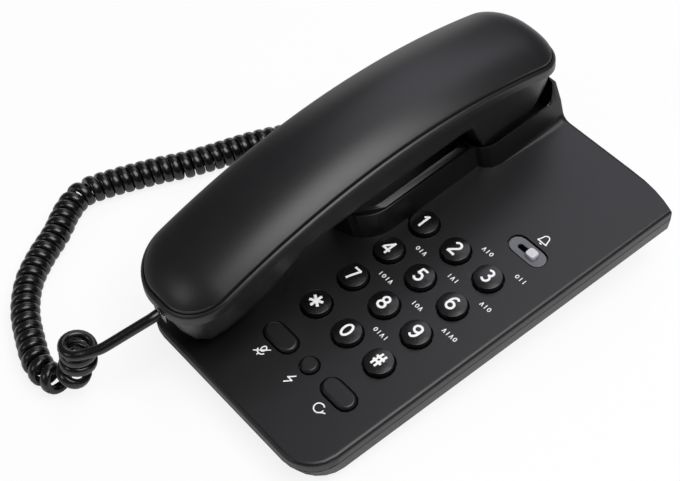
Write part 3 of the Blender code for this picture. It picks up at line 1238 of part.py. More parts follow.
def coil_points():
    """The helix: a frame is carried along the centre line, and each curl turns once round it."""
    line = smooth_points(COIL_ROUTE, CURL_PITCH / 12)
    step_length = (line[1] - line[0]).length
    tangents = [(b - a).normalized() for a, b in zip(line, line[1:])]
    tangents.append(tangents[-1])
    radius = (CURL_OUTSIDE - CORD_DIAMETER) / 2
    side = FIRST_CURL_SIDE
    least = CORD_DIAMETER + CURL_LEAST_GAP
    points = []
    phase = 0.0
    turn = 0.0
    for index, (place, tangent) in enumerate(zip(line, tangents)):
        side = (side - tangent * side.dot(tangent)).normalized()
        other = tangent.cross(side)
        bend = (tangents[min(index + 8, len(line) - 1)] - tangents[max(index - 8, 0)]).length
        bend /= 16 * step_length
        start = smooth_step((phase / (2 * math.pi) - WIDE_CURLS) / WIDE_CURLS)
        left = min((len(line) - 1 - index) * step_length / UNWIND_LENGTH, 1)
        reach = (FIRST_CURL_RADIUS + (radius - FIRST_CURL_RADIUS) * start) * smooth_step(left)
        pitch = max(CURL_PITCH, least / max(1 - reach * bend, LEAST_SQUEEZE))
        while phase >= turn:
            points.append(place + side * (reach * math.cos(turn)) + other * (reach * math.sin(turn)))
            turn += 2 * math.pi / POINTS_PER_CURL
        phase += 2 * math.pi * step_length / pitch * left
    last = line[-1]
    while (points[-1] - last).length < CORD_DIAMETER:
        points.pop()
    points.append(last)
    points.append(last + tangents[-1] * CORD_DIAMETER)
    return points


def tube_object(name, points, resolution):
    """A round tube along points, with its ends closed."""
    curve = bpy.data.curves.new(name, "CURVE")
    curve.dimensions = "3D"
    curve.bevel_depth = CORD_DIAMETER / 2
    curve.bevel_resolution = resolution
    curve.use_fill_caps = True
    spline = curve.splines.new("POLY")
    spline.points.add(len(points) - 1)
    for slot, point in zip(spline.points, points):
        slot.co = (*point, 1)
    return add_object(name, curve, CORD_BLACK, parent=None)


def least_gap(points):
    """The least gap of the coil to itself, measured between the tube's surfaces."""
    least = math.inf
    skip = POINTS_PER_CURL // 2
    for index, point in enumerate(points):
        for other in range(index + skip, min(index + 3 * POINTS_PER_CURL, len(points) - 1)):
            start = points[other]
            along = points[other + 1] - start
            share = min(max((point - start).dot(along) / along.length_squared, 0), 1)
            least = min(least, (start + along * share - point).length)
    return least - CORD_DIAMETER


def build_cord():
    coil = coil_points()
    into = (coil[0] - coil[1]).normalized()
    coil.insert(0, coil[0] + into * CORD_DIAMETER)
    tube_object("cord_coil", coil, 1)
    print("curls", (len(coil) - 3) // POINTS_PER_CURL, "least gap of the coil to itself in mm",
          round(least_gap(coil) / MM, 3))

    gap = FIT + FIT / 3
    plug_end = DECK_MATRIX @ Vector((HANDSET_X, HANDSET_JACK_FACE - PLUG_OUTSIDE - gap, HANDSET_JACK_Z))
    outward = DECK_MATRIX.to_3x3() @ Vector((0, -1, 0))
    end = coil[0] + into * gap
    lead = [plug_end, plug_end + outward * CORD_DIAMETER, end.lerp(plug_end, 0.5), end + into * CORD_DIAMETER, end]
    tube_object("cord_handset_lead", lead_points(lead), 2)

    plug_end = DECK_MATRIX @ Vector((CORD_JACK_X - PLUG_OUTSIDE - gap, CORD_JACK_Y, JACK_LEVEL))
    away = (coil[-1] - coil[-2]).normalized()
    start = coil[-1] + away * gap
    lead = [start, start + away * CORD_DIAMETER, plug_end + Vector((-2.2, -0.7, -0.6)) * CORD_DIAMETER,
            plug_end + Vector((-1, 0, 0)) * CORD_DIAMETER, plug_end]
    tube_object("cord_base_lead", lead_points(lead), 2)


build_upper_housing()
build_lower_housing()
build_cradle_insert()
build_feet()
build_base_screws()
build_keypad_mat()
build_circuit_board()
build_keys()
build_function_buttons()
build_ringer_switch()
build_hook_switch()
build_sounder()
build_top_cover()
build_bottom_cover()
build_jacks()
build_handset_contents()
build_plugs()
build_cord()
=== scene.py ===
import math

import bmesh
import bpy
from mathutils import Matrix, Vector


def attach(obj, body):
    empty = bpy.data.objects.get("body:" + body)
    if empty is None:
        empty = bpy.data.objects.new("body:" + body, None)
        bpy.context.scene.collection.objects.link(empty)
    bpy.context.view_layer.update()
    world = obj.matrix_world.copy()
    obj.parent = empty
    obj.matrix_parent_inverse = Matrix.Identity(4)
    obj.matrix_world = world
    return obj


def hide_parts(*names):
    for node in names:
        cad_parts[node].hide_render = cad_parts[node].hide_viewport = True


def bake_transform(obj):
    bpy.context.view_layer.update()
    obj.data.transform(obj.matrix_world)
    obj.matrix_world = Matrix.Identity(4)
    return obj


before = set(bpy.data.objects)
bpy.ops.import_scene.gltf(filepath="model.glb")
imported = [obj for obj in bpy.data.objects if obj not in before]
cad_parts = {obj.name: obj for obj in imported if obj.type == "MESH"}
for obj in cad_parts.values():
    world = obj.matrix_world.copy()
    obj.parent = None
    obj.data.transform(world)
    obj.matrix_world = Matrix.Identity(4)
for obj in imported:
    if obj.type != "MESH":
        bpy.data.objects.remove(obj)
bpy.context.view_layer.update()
MM = 0.001

# Camera. It looks down on the telephone from its front right corner, as the photograph does, from
# about 63 cm away with a long lens, so that the sides of the base hardly converge.
CAMERA_PLACE = Vector((282.1, -273.74, 503.61)) * MM
CAMERA_TARGET = Vector((-24.3, -13.34, 20.21)) * MM
camera = bpy.data.objects.new("camera", bpy.data.cameras.new("camera"))
camera.data.lens = 79.9
camera.data.sensor_width = 36.0
camera.data.clip_start = 0.02
camera.data.clip_end = 20.0
camera.location = CAMERA_PLACE
camera.rotation_euler = (CAMERA_TARGET - CAMERA_PLACE).to_track_quat("-Z", "Y").to_euler()
bpy.context.scene.collection.objects.link(camera)
bpy.context.scene.camera = camera
bpy.context.scene.view_settings.view_transform = "Standard"

# Curly cord. Four wires in a soft vinyl jacket, wound hot on a mandrel so that it springs back. The
# jacket is flattened against the mandrel, so the curls look like bands that lie close together. It
# runs from the handset's mouth end, down to the table, round to the left and to the base's left side.
DECK = Matrix.Translation((0, 2.19 * MM, 24.1 * MM)) @ Matrix.Rotation(math.radians(5.0), 4, "X")
HANDSET_X = -30.0 * MM
CORD_DIAMETER = 3.7 * MM
JACKET_WIDTH = 4.4 * MM
JACKET_BAND_DEPTH = 3.4 * MM
JACKET_SQUARENESS = 0.8
JACKET_FADE = 9.0 * MM
STANDING_ROUND_LENGTH = 40.0 * MM
BASE_ROUND_LENGTH = 30.0 * MM
LEAST_AXIS_SHARE = 0.35
CURL_OUTSIDE = 12.7 * MM
FIRST_CURL_RADIUS = 6.1 * MM
CURL_PITCH = 4.45 * MM
CURL_LEAST_GAP = 0.8 * MM
WIDE_CURLS = 1.8
LEAST_SQUEEZE = 0.4
LINE_STEPS_PER_PITCH = 12
BEND_REACH = 8
UNWIND_LENGTH = 13.0 * MM
TURN_OFF_STEP = 4
LEAD_BEND_RADIUS = 25.0 * MM
LEAD_BEND_REACHES = (9 * MM, 6 * MM, 3 * MM, 1.2 * MM)
LEAD_STEP = 1.5 * MM
BASE_LEAD_SAG = Vector((-2.2, -0.7, -0.6))
LYING_AXIS_HEIGHT = 0.06
CURVE_STEPS = 24
FIRST_CURL_SIDE = Vector((0.94, -0.34, 0))
RINGS_PER_CURL = 24
JACKET_SIDES = 14
HANDSET_PLUG_END = DECK @ (Vector((HANDSET_X / MM, -100.71, 23.4)) * MM)
BASE_PLUG_END = DECK @ (Vector((-60.7, 55.0, -6.7)) * MM)
COIL_LINE = [Vector(point) * MM for point in (
    (-46.6, -128.4, 27.0), (-46.6, -129.2, 19.0), (-46.4, -132.6, 11.0), (-49.3, -137.6, 7.2),
    (-56.3, -140.2, 6.5), (-64.0, -139.6, 6.4), (-74.0, -136.0, 6.4), (-87.4, -129.8, 6.4),
    (-99.5, -120.3, 6.4), (-108.0, -108.8, 6.4), (-115.0, -96.3, 6.4), (-122.4, -85.8, 6.4),
    (-126.6, -75.2, 6.4), (-124.0, -62.3, 6.4), (-116.4, -41.4, 6.4), (-111.2, -29.6, 6.4),
    (-107.2, -17.6, 6.4), (-104.4, -8.1, 6.4), (-101.2, 1.6, 6.4), (-97.2, 11.0, 6.4),
    (-92.0, 20.5, 6.4), (-86.4, 29.5, 6.6), (-80.5, 38.0, 7.4),
)]


def linear(code):
    """An sRGB colour such as 1b1b1e, as the linear colour that a shader takes."""
    parts = [int(code[start:start + 2], 16) / 255 for start in (0, 2, 4)]
    return (*[part / 12.92 if part <= 0.04045 else ((part + 0.055) / 1.055) ** 2.4 for part in parts], 1)


def add_node(material, kind, inputs=(), **settings):
    """Adds a shader node to a material or world. An input is a value or the socket it is linked to."""
    node = material.node_tree.nodes.new("ShaderNode" + kind)
    for name, value in settings.items():
        setattr(node, name, value)
    for name, value in dict(inputs).items():
        if isinstance(value, bpy.types.NodeSocket):
            material.node_tree.links.new(value, node.inputs[name])
        else:
            node.inputs[name].default_value = value
    return node


def empty_material(name):
    material = bpy.data.materials.new(name)
    material.use_nodes = True
    material.node_tree.nodes.clear()
    return material


def two_tone(material, noise, first, second, low=0.3, high=0.7):
    """A colour that drifts between two tones with a noise."""
    ramp = add_node(material, "ValToRGB", {"Fac": noise})
    ramp.color_ramp.elements[0].position = low
    ramp.color_ramp.elements[1].position = high
    ramp.color_ramp.elements[0].color = linear(first)
    ramp.color_ramp.elements[1].color = linear(second)
    return ramp.outputs["Color"]


TONE_DRIFT = 24 * MM
GLOSS_DRIFT = 0.05


def moulded(name, tone, second_tone, roughness, grain, relief, ior=1.46, metallic=0.0, clear=0.0):
    """A moulded or plated surface: fine tooled grain, with a tone and a gloss that drift slightly."""
    material = empty_material(name)
    place = add_node(material, "TexCoord").outputs["Object"]
    drift = add_node(material, "TexNoise", {"Vector": place, "Scale": 1 / TONE_DRIFT, "Detail": 3.0})
    grains = add_node(material, "TexNoise", {
        "Vector": place, "Scale": 1 / grain, "Detail": 2.0, "Roughness": 0.6})
    colour = two_tone(material, drift.outputs["Fac"], tone, second_tone)
    gloss = add_node(material, "MapRange", {
        "Value": grains.outputs["Fac"], "From Min": 0.3, "From Max": 0.7,
        "To Min": roughness - GLOSS_DRIFT, "To Max": roughness + GLOSS_DRIFT})
    bump = add_node(material, "Bump", {
        "Height": grains.outputs["Fac"], "Distance": relief, "Strength": 1.0})
    shader = add_node(material, "BsdfPrincipled", {
        "Base Color": colour, "Roughness": gloss.outputs["Result"], "Normal": bump.outputs["Normal"],
        "IOR": ior, "Metallic": metallic, "Transmission Weight": clear})
    add_node(material, "OutputMaterial", {"Surface": shader.outputs["BSDF"]})
    return material


# Soft vinyl: a slick skin over a black core, with long faint waves from the extruder.
cord_vinyl = moulded("extruded_vinyl", "08080a", "0e0e10", 0.24, 1.6 * MM, 0.02 * MM, ior=1.53)


def smooth_step(share):
    share = min(max(share, 0), 1)
    return share * share * (3 - 2 * share)


def even_points(points, spacing):
    """Points at even steps along a smooth curve through the given ones."""
    dense = []
    ends = [2 * points[0] - points[1]] + points + [2 * points[-1] - points[-2]]
    for before, start, end, after in zip(ends, ends[1:], ends[2:], ends[3:]):
        for step in range(CURVE_STEPS):
            t = step / CURVE_STEPS
            dense.append(0.5 * (2 * start + (end - before) * t
                                + (2 * before - 5 * start + 4 * end - after) * t ** 2
                                + (3 * start - before - 3 * end + after) * t ** 3))
    dense.append(points[-1])
    lengths = [0.0]
    for start, end in zip(dense, dense[1:]):
        lengths.append(lengths[-1] + (end - start).length)
    count = max(round(lengths[-1] / spacing), 2)
    result = []
    index = 0
    for step in range(count + 1):
        wanted = lengths[-1] * step / count
        while index < len(lengths) - 2 and lengths[index + 1] < wanted:
            index += 1
        share = (wanted - lengths[index]) / max(lengths[index + 1] - lengths[index], 1e-12)
        result.append(dense[index].lerp(dense[index + 1], share))
    return result


def curled_path():
    """The curls: points on a circle that is carried along the coil's line, and the axis at each."""
    line = even_points(COIL_LINE, CURL_PITCH / LINE_STEPS_PER_PITCH)
    step_length = (line[1] - line[0]).length
    tangents = [(b - a).normalized() for a, b in zip(line, line[1:])]
    tangents.append(tangents[-1])
    radius = (CURL_OUTSIDE - CORD_DIAMETER) / 2
    side = FIRST_CURL_SIDE
    path = []
    phase = 0.0
    turn = 0.0
    for index, (place, tangent) in enumerate(zip(line, tangents)):
        side = (side - tangent * side.dot(tangent)).normalized()
        other = tangent.cross(side)
        ahead = tangents[min(index + BEND_REACH, len(line) - 1)]
        behind = tangents[max(index - BEND_REACH, 0)]
        bend = (ahead - behind).length / (2 * BEND_REACH * step_length)
        start = smooth_step((phase / (2 * math.pi) - WIDE_CURLS) / WIDE_CURLS)
        left = min((len(line) - 1 - index) * step_length / UNWIND_LENGTH, 1)
        reach = (FIRST_CURL_RADIUS + (radius - FIRST_CURL_RADIUS) * start) * smooth_step(left)
        pitch = max(CURL_PITCH, (CORD_DIAMETER + CURL_LEAST_GAP) / max(1 - reach * bend, LEAST_SQUEEZE))
        advance = 2 * math.pi * step_length / pitch * left
        while phase + advance > turn:
            share = (turn - phase) / advance if advance else 0
            middle = place + tangent * (step_length * max(share, 0))
            spoke = side * (reach * math.cos(turn)) + other * (reach * math.sin(turn))
            path.append((middle + spoke, tangent))
            turn += 2 * math.pi / RINGS_PER_CURL
        phase += advance
    last = line[-1]
    while (path[-1][0] - last).length < CORD_DIAMETER:
        path.pop()
    kept = len(path) - 1 - 2 * TURN_OFF_STEP
    turn_off = [point for point, axis in path[kept::TURN_OFF_STEP]]
    turn_off += [last + tangents[-1] * CORD_DIAMETER, last + tangents[-1] * (2 * CORD_DIAMETER)]
    return path[:kept] + [(point, tangents[-1]) for point in even_points(turn_off, MM)]


def jacket(name, path, round_start, round_end):
    """A closed tube along path; it is flattened like a band where the cord is curled."""
    places = [place for place, axis in path]
    shape = bmesh.new()
    rings = []
    along = [0.0]
    for start, end in zip(places, places[1:]):
        along.append(along[-1] + (end - start).length)
    for index, (place, axis) in enumerate(path):
        before = places[max(index - 1, 0)]
        after = places[min(index + 1, len(places) - 1)]
        tangent = (after - before).normalized()
        width_side = axis - tangent * axis.dot(tangent)
        if index and width_side.length < LEAST_AXIS_SHARE:
            width_side = last_side - tangent * last_side.dot(tangent)
        width_side.normalize()
        if index and width_side.dot(last_side) < 0:
            width_side = -width_side
        last_side = width_side
        depth_side = tangent.cross(width_side)
        flat = smooth_step((along[index] - round_start) / JACKET_FADE) if round_start else 1
        if round_end:
            flat *= smooth_step((along[-1] - round_end - along[index]) / JACKET_FADE)
        half_width = JACKET_WIDTH / 2
        half_depth = (JACKET_WIDTH + (JACKET_BAND_DEPTH - JACKET_WIDTH) * flat) / 2
        ring = []
        power = 1 + (JACKET_SQUARENESS - 1) * flat
        for step in range(JACKET_SIDES):
            turn = 2 * math.pi * (step + 0.5) / JACKET_SIDES
            across = math.copysign(abs(math.cos(turn)) ** power, math.cos(turn))
            up = math.copysign(abs(math.sin(turn)) ** power, math.sin(turn))
            ring.append(shape.verts.new(place + width_side * (half_width * across)
                                        + depth_side * (half_depth * up)))
        rings.append(ring)
    for low, high in zip(rings, rings[1:]):
        for step in range(JACKET_SIDES):
            after = (step + 1) % JACKET_SIDES
            shape.faces.new((low[step], low[after], high[after], high[step]))
    shape.faces.new(rings[0])
    shape.faces.new(rings[-1])
    bmesh.ops.recalc_face_normals(shape, faces=shape.faces)
    data = bpy.data.meshes.new(name)
    shape.to_mesh(data)
    shape.free()
    data.shade_smooth()
    data.set_sharp_from_angle(angle=math.radians(50))
    data.materials.append(cord_vinyl)
    piece = bpy.data.objects.new(name, data)
    bpy.context.scene.collection.objects.link(piece)
    return piece, places, along[-1]


curls = curled_path()
into = (curls[0][0] - curls[1][0]).normalized()
outward = DECK.to_3x3() @ Vector((0, -1, 0))
lead_bend = [curls[0][0] + into * reach + Vector((0, 0, reach ** 2 / (2 * LEAD_BEND_RADIUS)))
             for reach in LEAD_BEND_REACHES]
lead_start = HANDSET_PLUG_END + outward * CORD_DIAMETER
handset_lead = [HANDSET_PLUG_END] + even_points(
    [lead_start, lead_start.lerp(lead_bend[0], 0.5)] + lead_bend, LEAD_STEP)
start = curls[-1][0]
away = curls[-1][1]
base_lead = even_points([
    start + away * CORD_DIAMETER, BASE_PLUG_END + BASE_LEAD_SAG * CORD_DIAMETER,
    BASE_PLUG_END + Vector((-1, 0, 0)) * CORD_DIAMETER], LEAD_STEP) + [BASE_PLUG_END]
lying_curl = next(index for index, (place, axis) in enumerate(curls) if abs(axis.z) < LYING_AXIS_HEIGHT)
first_axis = curls[0][1]
standing = [(place, first_axis) for place in handset_lead] + curls[:lying_curl + 1]
lying = curls[lying_curl:] + [(place, away) for place in base_lead]

standing_cord, standing_path, standing_length = jacket(
    "cord_standing_curls", standing, STANDING_ROUND_LENGTH, 0)
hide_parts("cord_handset_lead")
lying_cord, lying_path, lying_length = jacket("cord_lying_curls", lying, 0, BASE_ROUND_LENGTH)
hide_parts("cord_coil", "cord_base_lead")
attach(lying_cord, "base")
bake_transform(standing_cord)


# Lower housing. A shallow pan moulded in black ABS, with a level wedge under it that brings the deck
# to its slope. It is matt from the spark-eroded tool, and a thin dark line parts it from the deck.
PAN_EDGE = 0.25 * MM
PACKED_WELD = 0.002 * MM


def select_only(piece):
    bpy.ops.object.select_all(action="DESELECT")
    piece.select_set(True)
    bpy.context.view_layer.objects.active = piece


def smooth_by_angle(piece, angle=35):
    select_only(piece)
    bpy.ops.object.shade_smooth_by_angle(angle=math.radians(angle))


def rounded_copy(node, name, radius, least_angle=50, segments=2, reshape=None):
    """A copy of a packed shell, reshaped point by point, with rounded edges and evenly shaded curves."""
    piece = bpy.data.objects.new(name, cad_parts[node].data.copy())
    bpy.context.scene.collection.objects.link(piece)
    if reshape:
        to_deck = DECK.inverted()
        for vert in piece.data.vertices:
            vert.co = DECK @ reshape(to_deck @ vert.co)
    select_only(piece)
    bpy.ops.object.mode_set(mode="EDIT")
    bpy.ops.mesh.select_all(action="SELECT")
    bpy.ops.mesh.remove_doubles(threshold=PACKED_WELD)
    bpy.ops.mesh.dissolve_limited(angle_limit=math.radians(0.3))
    bpy.ops.object.mode_set(mode="OBJECT")
    edge_round = piece.modifiers.new("edge_round", "BEVEL")
    edge_round.width = radius
    edge_round.segments = segments
    edge_round.limit_method = "ANGLE"
    edge_round.angle_limit = math.radians(least_angle)
    bpy.ops.object.modifier_apply(modifier="edge_round")
    smooth_by_angle(piece, 40)
    even_shade = piece.modifiers.new("even_shade", "WEIGHTED_NORMAL")
    even_shade.keep_sharp = True
    bpy.ops.object.modifier_apply(modifier="even_shade")
    return piece


def settle(piece, material, body, place=Matrix.Identity(4)):
    """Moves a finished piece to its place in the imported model, and gives it its finish and its body."""
    piece.data.transform(place)
    piece.data.materials.clear()
    piece.data.materials.append(material)
    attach(piece, body)


# ABS from a spark-eroded tool. The fine even grain breaks the gloss up, so light spreads softly on it.
housing_abs = moulded("satin_abs", "0d0d0f", "131315", 0.38, 0.35 * MM, 0.008 * MM, ior=1.5)
lower = rounded_copy("lower_housing", "base_pan", PAN_EDGE)
settle(lower, housing_abs, "base")
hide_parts("lower_housing")


# Feet and screws. Four soft rubber discs pressed into seats in the wedge, and four zinc-plated
# screws in deep recesses, which hold the two housings together.
def dress(node, material):
    """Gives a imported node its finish."""
    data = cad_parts[node].data
    data.materials.clear()
    data.materials.append(material)


# Synthetic rubber, moulded: a dull dark grey without any highlight.
foot_rubber = moulded("foot_rubber", "151515", "1c1c1b", 0.78, 0.5 * MM, 0.03 * MM, ior=1.52)
# Zinc plating on steel: a cool, slightly clouded metal shine.
zinc = moulded("zinc_plate", "b8b9bd", "a6a8ae", 0.36, 0.4 * MM, 0.006 * MM, ior=1.5, metallic=1.0)
for side in ("front_left", "front_right", "rear_left", "rear_right"):
    dress("foot_" + side, foot_rubber)
    dress("base_screw_" + side, zinc)

# Upper housing. Deck, folded edges and cradle block in one ABS moulding, with the key holes, the
# ringer's recess and the cradle's wells formed by the tool. Its edges are broken by a small round.
HOUSING_EDGE = 0.3 * MM
BLOCK_HEIGHT = 10.5 * MM
BLOCK_HALF_WIDTH = 15.0 * MM
BLOCK_FRONT_CENTRE_Y = 3.5 * MM
BLOCK_WALL_ANGLE = math.radians(75.0)
BLOCK_EDGE_DROP = 0.35 * MM
WELL_FRONT_Y = 51.5 * MM
WELL_FRONT_RADIUS = 8.5 * MM
WELL_REAR_Y = 93.0 * MM
WELL_RIM_HALF_WIDTH = 20.8 * MM
FILLET_FOOT = 0.02 * MM
FILLET_TOP = 1.6 * MM
FILLET_TOP_REAR = 3.55 * MM
FILLET_START_Y = 30.0 * MM
FILLET_END_Y = 60.0 * MM
NEAR_EDGE = 0.3 * MM
NEAR_TOP = 0.1 * MM


def block_half_width(y):
    """Half the cradle block's width at its top edge, which widens round the ear well."""
    depth = min(max(WELL_FRONT_Y + WELL_FRONT_RADIUS - y, 0), WELL_FRONT_RADIUS)
    corner = WELL_FRONT_RADIUS - math.sqrt(WELL_FRONT_RADIUS ** 2 - depth ** 2)
    return max(BLOCK_HALF_WIDTH, WELL_RIM_HALF_WIDTH - corner) if y > WELL_FRONT_Y else BLOCK_HALF_WIDTH


def crisp_block(place):
    """Draws the fillet at the block's foot into a crisp corner, and slopes the block's top edge."""
    side = place.x - HANDSET_X
    front = min(place.y - BLOCK_FRONT_CENTRE_Y, 0)
    reach = math.hypot(side, front)
    edge = block_half_width(place.y)
    fillet = smooth_step((place.y - FILLET_START_Y) / (FILLET_END_Y - FILLET_START_Y))
    fillet_top = FILLET_TOP + (FILLET_TOP_REAR - FILLET_TOP) * fillet
    if FILLET_FOOT < place.z < fillet_top and reach > edge + NEAR_EDGE and place.y < WELL_REAR_Y:
        wanted = (edge + BLOCK_HEIGHT / math.tan(BLOCK_WALL_ANGLE)) / reach
        return Vector((HANDSET_X + side * wanted, place.y + front * (wanted - 1), 0))
    on_top = abs(place.z - BLOCK_HEIGHT) < NEAR_TOP
    if on_top and abs(reach - edge) < NEAR_EDGE and place.y < WELL_FRONT_Y:
        return place - Vector((0, 0, BLOCK_EDGE_DROP))
    return place


upper = rounded_copy("upper_housing", "deck_shell", HOUSING_EDGE, reshape=crisp_block)
settle(upper, housing_abs, "base")
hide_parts("upper_housing")

# Cradle tray. A separate ABS moulding with the trough under the handle, dropped into the block from
# above. The top of its flange slopes outwards and catches the light along the block.
FLANGE_TOP = 11.3 * MM
FLANGE_FOOT = 9.3 * MM
FLANGE_SLOPE_START = 12.3 * MM
FLANGE_DROP = 1.25 * MM


def sloped_flange(place):
    """Lowers the outer edge of the tray's flange, so that its top slopes outwards."""
    reach = math.hypot(place.x - HANDSET_X, min(place.y - BLOCK_FRONT_CENTRE_Y, 0))
    if place.z > FLANGE_FOOT and reach > FLANGE_SLOPE_START:
        share = (place.z - FLANGE_FOOT) / (FLANGE_TOP - FLANGE_FOOT)
        return place - Vector((0, 0, FLANGE_DROP * share))
    return place


insert = rounded_copy("cradle_insert", "cradle_tray", HOUSING_EDGE, least_angle=60,
                      reshape=sloped_flange)
settle(insert, housing_abs, "base")
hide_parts("cradle_insert")

# Inside. A silicone mat with a dome under each key, the circuit board, the hook switch's body and the
# ringer's sounder. They are closed in, and only the slits round the keys show the mat.

# Moulded silicone rubber: soft matt grey.
mat_silicone = moulded("keypad_silicone", "6f6f70", "7b7b7c", 0.6, 0.6 * MM, 0.02 * MM, ior=1.41)
# Glass-fibre laminate under green solder lacquer: smooth, with a slight gloss.
board_laminate = moulded("board_laminate", "14532d", "1a6136", 0.35, 1.2 * MM, 0.01 * MM)
# Pressed aluminium cans: pale and brushed dull by handling.
capsule_metal = moulded("pressed_aluminium", "c2c3c6", "b0b1b5", 0.4, 0.5 * MM, 0.01 * MM, ior=1.5,
                        metallic=1.0)
# Natural nylon: a flat, even grey.
switch_body = moulded("switch_nylon", "8d8d90", "98989b", 0.5, 0.5 * MM, 0.01 * MM)
dress("keypad_mat", mat_silicone)
dress("circuit_board", board_laminate)
dress("hook_switch", switch_body)
dress("ringer_sounder", capsule_metal)

# Number keys. Round caps moulded in black ABS with a polished, slightly crowned top, each with a
# printed white sign, and a small nib on the five. A flange below the deck keeps each in its hole.
KEY_RADIUS = 6.4 * MM
KEY_TOP_RADIUS = 6.05 * MM
KEY_TOP = 2.8 * MM
KEY_CROWN = 0.5 * MM
KEY_EDGE = 0.3 * MM
KEY_FLANGE_TOP = -2.5 * MM
KEY_FLANGE_OVERHANG = 1.1 * MM
KEY_FOOT = -3.4 * MM
CROWN_STEPS = 10
EDGE_STEPS = 6
KEY_PITCH_X = 19.0 * MM
KEY_PITCH_Y = 19.5 * MM
KEY_COLUMN_X = 14.3 * MM
KEY_LAST_ROW_Y = -44.6 * MM
KEY_SPOTS = {label: (KEY_COLUMN_X + (column - 1) * KEY_PITCH_X, KEY_LAST_ROW_Y + (3 - row) * KEY_PITCH_Y)
             for row, labels in enumerate(("123", "456", "789", "*0#"))
             for column, label in enumerate(labels)}
WELD = 0.001 * MM
SIGN_STROKE = 1.12 * MM
STAR_STROKE = 1.3 * MM
SIGN_SHIFT = Vector((-0.15, 0.1)) * MM
NIB_RADIUS = 0.55 * MM
NIB_HEIGHT = 0.4 * MM
NIB_ROOT = 0.3 * MM
NIB_STEPS = 5
NIB_SHIFT = Vector((4.05, -0.3)) * MM
PRINT_THICKNESS = 0.06 * MM
STROKE_STEP = 0.5
STAR_REACH = 3

# ABS from a polished tool: deep black, with small bright reflections at the edges.
key_abs = moulded("polished_key_abs", "0b0b0c", "101011", 0.24, 0.5 * MM, 0.006 * MM, ior=1.54)
# Pad printing ink: a dense, even white without gloss.
sign_ink = moulded("white_pad_print", "f8f8f8", "ffffff", 0.5, 0.4 * MM, 0.004 * MM)


def key_height(reach):
    """Height of the crowned top at a distance from the key's middle."""
    share = min(reach / (KEY_TOP_RADIUS - KEY_EDGE), 1)
    return KEY_TOP - KEY_CROWN * share ** 2


def turned(name, profile, steps=64):
    """A turned shape, made with the spin tool from a profile of radius and height."""
    data = bpy.data.meshes.new(name)
    data.from_pydata([(radius, 0, height) for radius, height in profile],
                     [(index, index + 1) for index in range(len(profile) - 1)], [])
    piece = bpy.data.objects.new(name, data)
    bpy.context.scene.collection.objects.link(piece)
    select_only(piece)
    bpy.ops.object.mode_set(mode="EDIT")
    bpy.ops.mesh.select_all(action="SELECT")
    bpy.ops.mesh.spin(steps=steps, angle=2 * math.pi, center=(0, 0, 0), axis=(0, 0, 1))
    bpy.ops.mesh.select_all(action="SELECT")
    bpy.ops.mesh.remove_doubles(threshold=WELD)
    bpy.ops.mesh.normals_make_consistent(inside=False)
    bpy.ops.object.mode_set(mode="OBJECT")
    return piece


def key_profile():
    """Half of a key's section, from the middle of its top to the middle of its foot."""
    rim = KEY_TOP_RADIUS - KEY_EDGE
    reaches = [rim * step / CROWN_STEPS for step in range(CROWN_STEPS)]
    points = [(reach, key_height(reach)) for reach in reaches]
    for step in range(EDGE_STEPS + 1):
        turn = math.pi / 2 * step / EDGE_STEPS
        points.append((rim + KEY_EDGE * math.sin(turn),
                       KEY_TOP - KEY_CROWN - KEY_EDGE + KEY_EDGE * math.cos(turn)))
    flange = KEY_RADIUS + KEY_FLANGE_OVERHANG
    return points + [(KEY_RADIUS, 0), (KEY_RADIUS, KEY_FLANGE_TOP), (flange, KEY_FLANGE_TOP),
                     (flange, KEY_FOOT), (0, KEY_FOOT)]


def arc(x, y, half_width, half_height, start, finish, steps=16):
    """Points on part of an ellipse, between two angles in degrees."""
    turns = [math.radians(start + (finish - start) * step / steps) for step in range(steps + 1)]
    return [(x + half_width * math.cos(turn), y + half_height * math.sin(turn)) for turn in turns]


def printed_strokes(name, lines, stroke):
    """Printed lines of one width as thin closed solids; their points are given in millimetres."""
    curve = bpy.data.curves.new(name, "CURVE")
    curve.dimensions = "3D"
    curve.bevel_depth = stroke / 2
    curve.bevel_resolution = 2
    curve.use_fill_caps = True
    for line in lines:
        closed = math.dist(line[0], line[-1]) < 0.01
        points = [line[0]]
        for start, end in zip(line, line[1:]):
            parts = math.ceil(math.dist(start, end) / STROKE_STEP)
            points += [(start[0] + (end[0] - start[0]) * part / parts,
                        start[1] + (end[1] - start[1]) * part / parts) for part in range(1, parts + 1)]
        points = points[:-1] if closed else points
        spline = curve.splines.new("POLY")
        spline.points.add(len(points) - 1)
        for point, (x, y) in zip(spline.points, points):
            point.co = (x * MM, y * MM, 0, 1)
        spline.use_cyclic_u = closed
    print_lines = bpy.data.objects.new(name, curve)
    bpy.context.scene.collection.objects.link(print_lines)
    select_only(print_lines)
    bpy.ops.object.convert(target="MESH")
    print_lines = bpy.context.object
    for vert in print_lines.data.vertices:
        vert.co.z *= PRINT_THICKNESS / stroke
    return print_lines


